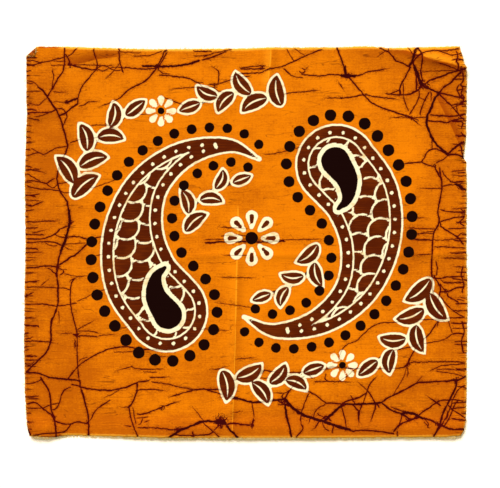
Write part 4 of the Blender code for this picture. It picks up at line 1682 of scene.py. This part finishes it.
def lay_design(cotton):
    """Lays brown, cream and dark brown, and keeps the share of each for the crackle."""
    body, cream, dark = cotton.numbers("dyes")
    rib, rib_width, stem = cotton.numbers("ribs")
    shake = cotton.swing("hand", HAND_SWING)
    body = body + shake
    outline = abs(body + OUTLINE / 2) - OUTLINE / 2
    inner_line = abs(body + BAND) - INNER_LINE / 2
    no_rib = cotton.below(rib_width, *RIB_THERE)
    rib_line = abs(rib + shake * 0.5) - rib_width * 0.5
    rib_line = rib_line + no_rib * FAR
    cream = (cream + shake).least(outline).least(inner_line).least(rib_line)
    cotton.brown_share = cotton.covered(body.least(stem + shake))
    cotton.dark_share = cotton.covered(dark + shake)
    cotton.cream_share = cotton.covered(cream)
    faded = cotton.step(cotton.noise("slubs") + cotton.swing("clouds", 1), *FADED)
    stained = cotton.step(cotton.noise("clouds") + cotton.swing("patches", STAINED_SWING), *STAINED)
    cotton.lay(cotton.below(abs(cream), *CREPT_IN) * CREPT_SHARE, GOLD_DEEP)
    cotton.lay(cotton.brown_share, cotton.blend(faded, BROWN, BROWN_LIGHT))
    cotton.lay(cotton.cream_share, cotton.blend(stained, CREAM, CREAM_STAIN))
    cotton.lay(cotton.dark_share, DARK)


for cotton in (face, reverse):
    lay_design(cotton)
print(len(face.tree.nodes), "nodes with the design")

# %% [markdown]
# ## The cracks
#
# Each layer of veins gives a line that wanders and swells, a soft halo where the dye crept
# outwards, and a darker heart in the widest ones. The finest cracks are too many to place, so
# noise draws them: crumbs inside the knots, long hairs, feathers beside the veins, and short
# cracks that run in from the two sides.

# %% Find the cracks
LINE_SOFT = 0.16
VEIN_SWING = 0.8
HALF_VEIN = 0.52
LEAST_SWELL, MORE_SWELL = 0.20, 2.0
VEIN_THERE = (0.02, 0.2)
HALO_TIMES, HALO_MORE = 2.2, 0.8
HEART_WIDTHS = (1.1, 2.0)
CRUMB_SWING = 1.5
CRUMBS = (0.52, 0.72)
HAIR_LINE = (0.003, 0.017)
HAIR_PLACES = (0.42, 0.66)
HAIR_SHARE = 0.50
FEATHER_LINE = (0.008, 0.035)
FEATHER_REACH = (1.0, 5.5)
FEATHER_SHARE = 0.55
SIDE_CRACKS = (0.56, 0.66)
SIDE_REACH, SIDE_SHORTER = 34, 9
SIDE_FADE = (-3.0, 1.0)
SIDE_SHARE = 0.65


def find_veins(cotton):
    """The veins of all layers together: the cracks, the halo round them and their heart."""
    wander = cotton.swing("wander", VEIN_SWING)
    swell = cotton.noise("swell") * MORE_SWELL + LEAST_SWELL
    found = []
    for number in range(len(layers)):
        distance, width, strength = cotton.numbers(f"veins_{number}")
        away = abs(distance + wander)
        half = width * swell * HALF_VEIN
        there = cotton.step(width, *VEIN_THERE) * strength
        line = cotton.below(away, half - LINE_SOFT, half + LINE_SOFT) * there
        glow = cotton.below(away, half, half * HALO_TIMES + HALO_MORE) * there
        found.append((line, glow, line * cotton.step(width, *HEART_WIDTHS)))
    cotton.cracks, cotton.halo, cotton.heart = found[0]
    for line, glow, deep in found[1:]:
        cotton.cracks = cotton.cracks.most(line)
        cotton.halo = cotton.halo.most(glow)
        cotton.heart = cotton.heart.most(deep)


def add_fine_cracks(cotton):
    """The cracks that noise draws, added to the veins."""
    crumbs = cotton.step(cotton.knots + cotton.swing("crumbs", CRUMB_SWING), *CRUMBS)
    hairs = cotton.winding_lines("hairs", *HAIR_LINE)
    hairs = hairs * cotton.step(cotton.noise("hair_places"), *HAIR_PLACES)
    feathers = cotton.winding_lines("feathers", *FEATHER_LINE)
    feathers = feathers * cotton.below(cotton.to_vein, *FEATHER_REACH)
    reach = cotton.noise("side_reach") * SIDE_REACH - SIDE_SHORTER
    from_side = cotton.step(cotton.noise("side_cracks"), *SIDE_CRACKS)
    from_side = from_side * cotton.below(cotton.to_side - reach, *SIDE_FADE)
    fine = crumbs.most(feathers * FEATHER_SHARE).most(hairs * HAIR_SHARE).most(from_side * SIDE_SHARE)
    cotton.cracks = cotton.cracks.most(fine)


for cotton in (face, reverse):
    find_veins(cotton)
    add_fine_cracks(cotton)
print(len(face.tree.nodes), "nodes with", len(layers), "layers of veins")

# %% [markdown]
# ## Stains, and the pale and dark rims of the cuts
#
# The cloth was handled by its sides. A brown stain runs along them, strongest at the left. The cut
# itself is pale, partly the paler raw edge and partly a painted highlight where the edge catches
# the light. Beside the turned-over corner one short stretch of the top cut is painted dark.

# %% Stain the edges and paint their rims
AWAY_FROM_LEFT = (8.0, 38.0)
STAIN_SWING = 9
STAIN_DEPTH = (0.5, 5.5)
STAIN_LEFT, STAIN_LESS = 0.45, 0.30
DARK_STRETCH_START, DARK_STRETCH_END = (11, 13), (30, 37)
TOP_HALF = (-5, 5)
RIM_SWING = 2.0
PALE_AT_END = (0.8, 3.2)
PALE_AT_SIDE = (0.6, 2.6)
RIM_LEFT, RIM_MORE = 0.3, 0.5
RIM_SHARE = 0.8
DARK_SWING = 0.6
DARK_LINE = (0.7, 1.7)
DARK_SHARE = 0.75


def stain_edges_and_paint_rims(cotton):
    """Stains the two sides, paints the cuts pale, partly as a painted highlight, and paints a short stretch
    of the top cut dark.
    """
    away = cotton.step(cotton.to_left, *AWAY_FROM_LEFT)
    stain = cotton.below(cotton.to_side + cotton.swing("side_cracks", STAIN_SWING), *STAIN_DEPTH)
    cotton.lay(stain * (STAIN_LEFT - away * STAIN_LESS), STAIN_AND_SHADE_BROWN)
    # A short stretch of the top cut beside the turned-over corner is painted dark.
    dark_stretch = cotton.step(cotton.to_left, *DARK_STRETCH_START) * cotton.below(cotton.to_left, *DARK_STRETCH_END)
    dark_stretch = dark_stretch * cotton.step(cotton.up, *TOP_HALF)
    pale_end = cotton.below(cotton.to_end + cotton.swing("crumbs", RIM_SWING), *PALE_AT_END)
    pale_side = cotton.below(cotton.to_side + cotton.swing("crumbs", RIM_SWING), *PALE_AT_SIDE)
    # A pale rim along the cuts: partly the paler raw edge, partly a painted highlight where the edge catches
    # the light.
    rim = (pale_end * (1 - dark_stretch)).most(pale_side * (away * RIM_MORE + RIM_LEFT))
    cotton.lay(rim * RIM_SHARE, GOLD_RIM_AND_HIGHLIGHT)
    dark_line = cotton.below(cotton.to_end + cotton.swing("crumbs", DARK_SWING), *DARK_LINE) * dark_stretch
    cotton.lay(dark_line * DARK_SHARE, STAIN_AND_SHADE_BROWN)


for cotton in (face, reverse):
    stain_edges_and_paint_rims(cotton)
print(len(face.tree.nodes), "nodes with the edges")

# %% [markdown]
# ## The crackle over everything
#
# The cracks are laid on last: maroon on gold, with a brown halo, thin and grey on cream, and
# hardly to be seen on brown. The reverse gets a thin layer of straw, since less dye reached it, and
# a darker patch at its corner, partly stain and partly painted shade on the turned-over flap.

# %% Lay the crackle
HALO_SHARE = 0.42
HEART_SHARE = 0.75
LESS_ON_CREAM = 0.45
LESS_ON_BROWN = 0.5
STRAW_SHARE = 0.10
CORNER_SIZE = (7, 12)
CORNER_SHARE = 0.5


def lay_crackle(cotton):
    """The halo on open ground, then the cracks in the colour that each dye below gives them."""
    not_cream = 1 - cotton.cream_share
    not_dark = 1 - cotton.dark_share
    open_ground = (1 - cotton.brown_share) * not_dark * not_cream
    cotton.lay(cotton.halo * HALO_SHARE * open_ground, CRACK_HALO)
    crack = cotton.blend(cotton.heart * HEART_SHARE, CRACK, CRACK_HEART)
    crack = cotton.blend(cotton.cream_share, crack, CRACK_ON_CREAM)
    share = cotton.cracks * (1 - cotton.cream_share * LESS_ON_CREAM)
    share = share * (1 - cotton.brown_share * not_cream * LESS_ON_BROWN) * not_dark
    cotton.lay(share, crack)


for cotton in (face, reverse):
    lay_crackle(cotton)
reverse.lay(STRAW_SHARE, STRAW)
# A darker patch at the reverse's corner: partly stain, partly painted shade on the turned-over flap.
turned_corner = reverse.below(reverse.to_left, *CORNER_SIZE) * reverse.below(reverse.to_end, *CORNER_SIZE)
reverse.lay(turned_corner * CORNER_SHARE, STAIN_AND_SHADE_BROWN)
print(len(face.tree.nodes), "nodes with the crackle")

# %% [markdown]
# ## The weave
#
# Plain weave is two sine waves multiplied, one for each direction of the yarn, and the slubs stand
# a little above it. It only bends the light: the yarns are far too fine to model.

# %% Weave the cotton and put it on the sheet
THREAD = 0.45
WEAVE_DEPTH = 0.00012
WEAVE_STRENGTH = 0.35
YARN_HEIGHT, SLUB_HEIGHT, WARP_SLUB_HEIGHT = 0.5, 1.6, 0.6
ROUGHNESS, ROUGHER = 0.78, 0.2
COTTON_SHEEN = 0.04


def weave(cotton):
    """The weave's fine relief. With it the finish is complete."""
    turns = math.pi / THREAD
    warp = (cotton.across * turns).sum("SINE")
    weft = (cotton.up * turns).sum("SINE")
    slubs = cotton.noise("slubs")
    height = warp * weft * YARN_HEIGHT + slubs * SLUB_HEIGHT
    height = height + cotton.noise("warp_slubs") * WARP_SLUB_HEIGHT
    inputs = {"Strength": WEAVE_STRENGTH, "Distance": WEAVE_DEPTH, "Height": height}
    cotton.feed(cotton.shader, {
        "Base Color": cotton.colour,
        "Roughness": ROUGHNESS + slubs * ROUGHER,
        "Normal": cotton.node("ShaderNodeBump", None, inputs),
        "Specular IOR Level": COTTON_SHEEN,
    })


for cotton in (face, reverse):
    weave(cotton)
    sheet.materials.append(cotton.material)
    print(cotton.material.name, "has", len(cotton.tree.nodes), "nodes")

# %% [markdown]
# ## The raw edge
#
# The rim of the sheet shows cut yarn ends: straw gold, a little fuzzy, with the dye only partly
# through. It is a narrow strip, so noise on the object's own coordinates is enough.

# %% Make the raw edge's finish
FUZZ_SCALE = 0.9
FUZZ_DEEP = (0.35, 0.68)
FUZZ_DEPTH = 0.0001
FUZZ_STRENGTH = 0.3
FUZZ_ROUGHNESS, FUZZ_ROUGHER = 0.82, 0.15
FUZZ_SHEEN = 0.15


def yarn_ends(name, pale, deep):
    """Undyed cotton in two tones, matte and fuzzy."""
    finish = Finish(name)
    spot = finish.node("ShaderNodeTexCoord", None, None, output=3)
    spot = finish.node("ShaderNodeVectorMath", {"operation": "SCALE"}, {0: spot, "Scale": 1 / MM})
    fuzz = finish.node("ShaderNodeTexNoise", None, {"Vector": spot, "Scale": FUZZ_SCALE, "Detail": 3.0})
    relief = {"Strength": FUZZ_STRENGTH, "Distance": FUZZ_DEPTH, "Height": fuzz}
    finish.feed(finish.shader, {
        "Base Color": finish.blend(finish.step(fuzz, *FUZZ_DEEP), pale, deep),
        "Roughness": FUZZ_ROUGHNESS + fuzz * FUZZ_ROUGHER,
        "Normal": finish.node("ShaderNodeBump", None, relief),
        "Specular IOR Level": FUZZ_SHEEN,
    })
    return finish.material


sheet.materials.append(yarn_ends("raw_edge", STRAW, GOLD))
print("three finishes on the sheet")

# %% [markdown]
# ## Frayed threads
#
# Along every cut, short ends of yarn stick out where the last threads worked loose. They are
# drawn as one curve object with many short splines and a thin bevel, which Blender turns into a
# mesh in one go. Each end starts just inside the cut, at the height of the cloth there, and points
# outwards with a lean and a curl of its own.

# %% Draw the frayed threads
THREAD_RADIUS = 0.11
Fringe = namedtuple("Fringe", "side start end gap shortest longest")
FRINGES = [
    Fringe("left", -190, 196, 0.45, 0.5, 1.6), Fringe("right", -190, 190, 0.45, 0.6, 1.8),
    Fringe("top", -221, 216, 0.65, 0.5, 1.8), Fringe("bottom", -216, 216, 0.26, 1.6, 3.6),
]
LONG_THREAD = 3.6
LONG_SHARE = 0.03
THREAD_LEAN = 0.45
THREAD_POINTS = 4
THREAD_ROOT = 0.4
THREAD_DROOP = 0.3
THREAD_TAPER = 0.5


def lie(x, y):
    """The height of the cloth at a few flat places, without its ripples."""
    heights = [crease_height(crease, x, y) for crease in CREASES]
    return np.max(heights + [edge_lift(x, y)], axis=0) + RIPPLE_HEIGHT


def cut_line(side, at):
    """A place on one cut, and the direction that points out of the cloth there."""
    if side in ("left", "right"):
        left, right, _, _ = sides(np.zeros(1), np.array([at]))
        return (left[0] if side == "left" else right[0]), at, (-1 if side == "left" else 1), 0
    _, _, bottom, top = sides(np.array([at]), np.zeros(1))
    return at, (bottom[0] if side == "bottom" else top[0]), 0, (-1 if side == "bottom" else 1)


fray_curve = bpy.data.curves.new("frayed_threads", "CURVE")
fray_curve.dimensions = "3D"
fray_curve.bevel_depth = THREAD_RADIUS * MM
fray_curve.bevel_resolution = 0
fray_curve.use_fill_caps = True
for fringe in FRINGES:
    at = fringe.start
    while at < fringe.end:
        at += chance.exponential(fringe.gap)
        x, y, out_x, out_y = cut_line(fringe.side, at)
        is_long = chance.random() < LONG_SHARE
        length = LONG_THREAD if is_long else chance.uniform(fringe.shortest, fringe.longest)
        lean = chance.normal(0, THREAD_LEAN)
        curl = chance.normal(0, THREAD_LEAN)
        share = np.linspace(0, 1, THREAD_POINTS)
        angle = math.atan2(out_y, out_x) + lean + curl * share
        reach = length * share - THREAD_ROOT
        height = lie(np.array([x]), np.array([y]))[0] + SHEET / 2 - THREAD_DROOP * share ** 2 * length
        line = fold(x + reach * np.cos(angle), y + reach * np.sin(angle), np.maximum(height, THREAD_RADIUS))
        spline = fray_curve.splines.new("POLY")
        spline.points.add(THREAD_POINTS - 1)
        for point, place, along in zip(spline.points, line * MM, share):
            point.co = (*place, 1)
            point.radius = 1 - THREAD_TAPER * along
fray_source = bpy.data.objects.new("fray_source", fray_curve)
scene.collection.objects.link(fray_source)
bpy.context.view_layer.update()
fray_mesh = bpy.data.meshes.new_from_object(fray_source.evaluated_get(bpy.context.evaluated_depsgraph_get()))
bpy.data.objects.remove(fray_source)
fray_mesh.materials.clear()
fray_mesh.materials.append(yarn_ends("frayed_cotton", THREAD_PALE, THREAD_DEEP))
fray = bpy.data.objects.new("frayed_threads", fray_mesh)
scene.collection.objects.link(fray)
print(len(fray_curve.splines), "threads with", len(fray_mesh.polygons), "faces")

# %% [markdown]
# ## Tie the pieces to the model
#
# Last, every piece is tied to the imported model: both pieces ride on the one body, and the
# imported cloth is hidden, so the sheet is seen in its place.

for piece in (cloth, fray):
    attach(piece, "root")
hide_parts("cloth")
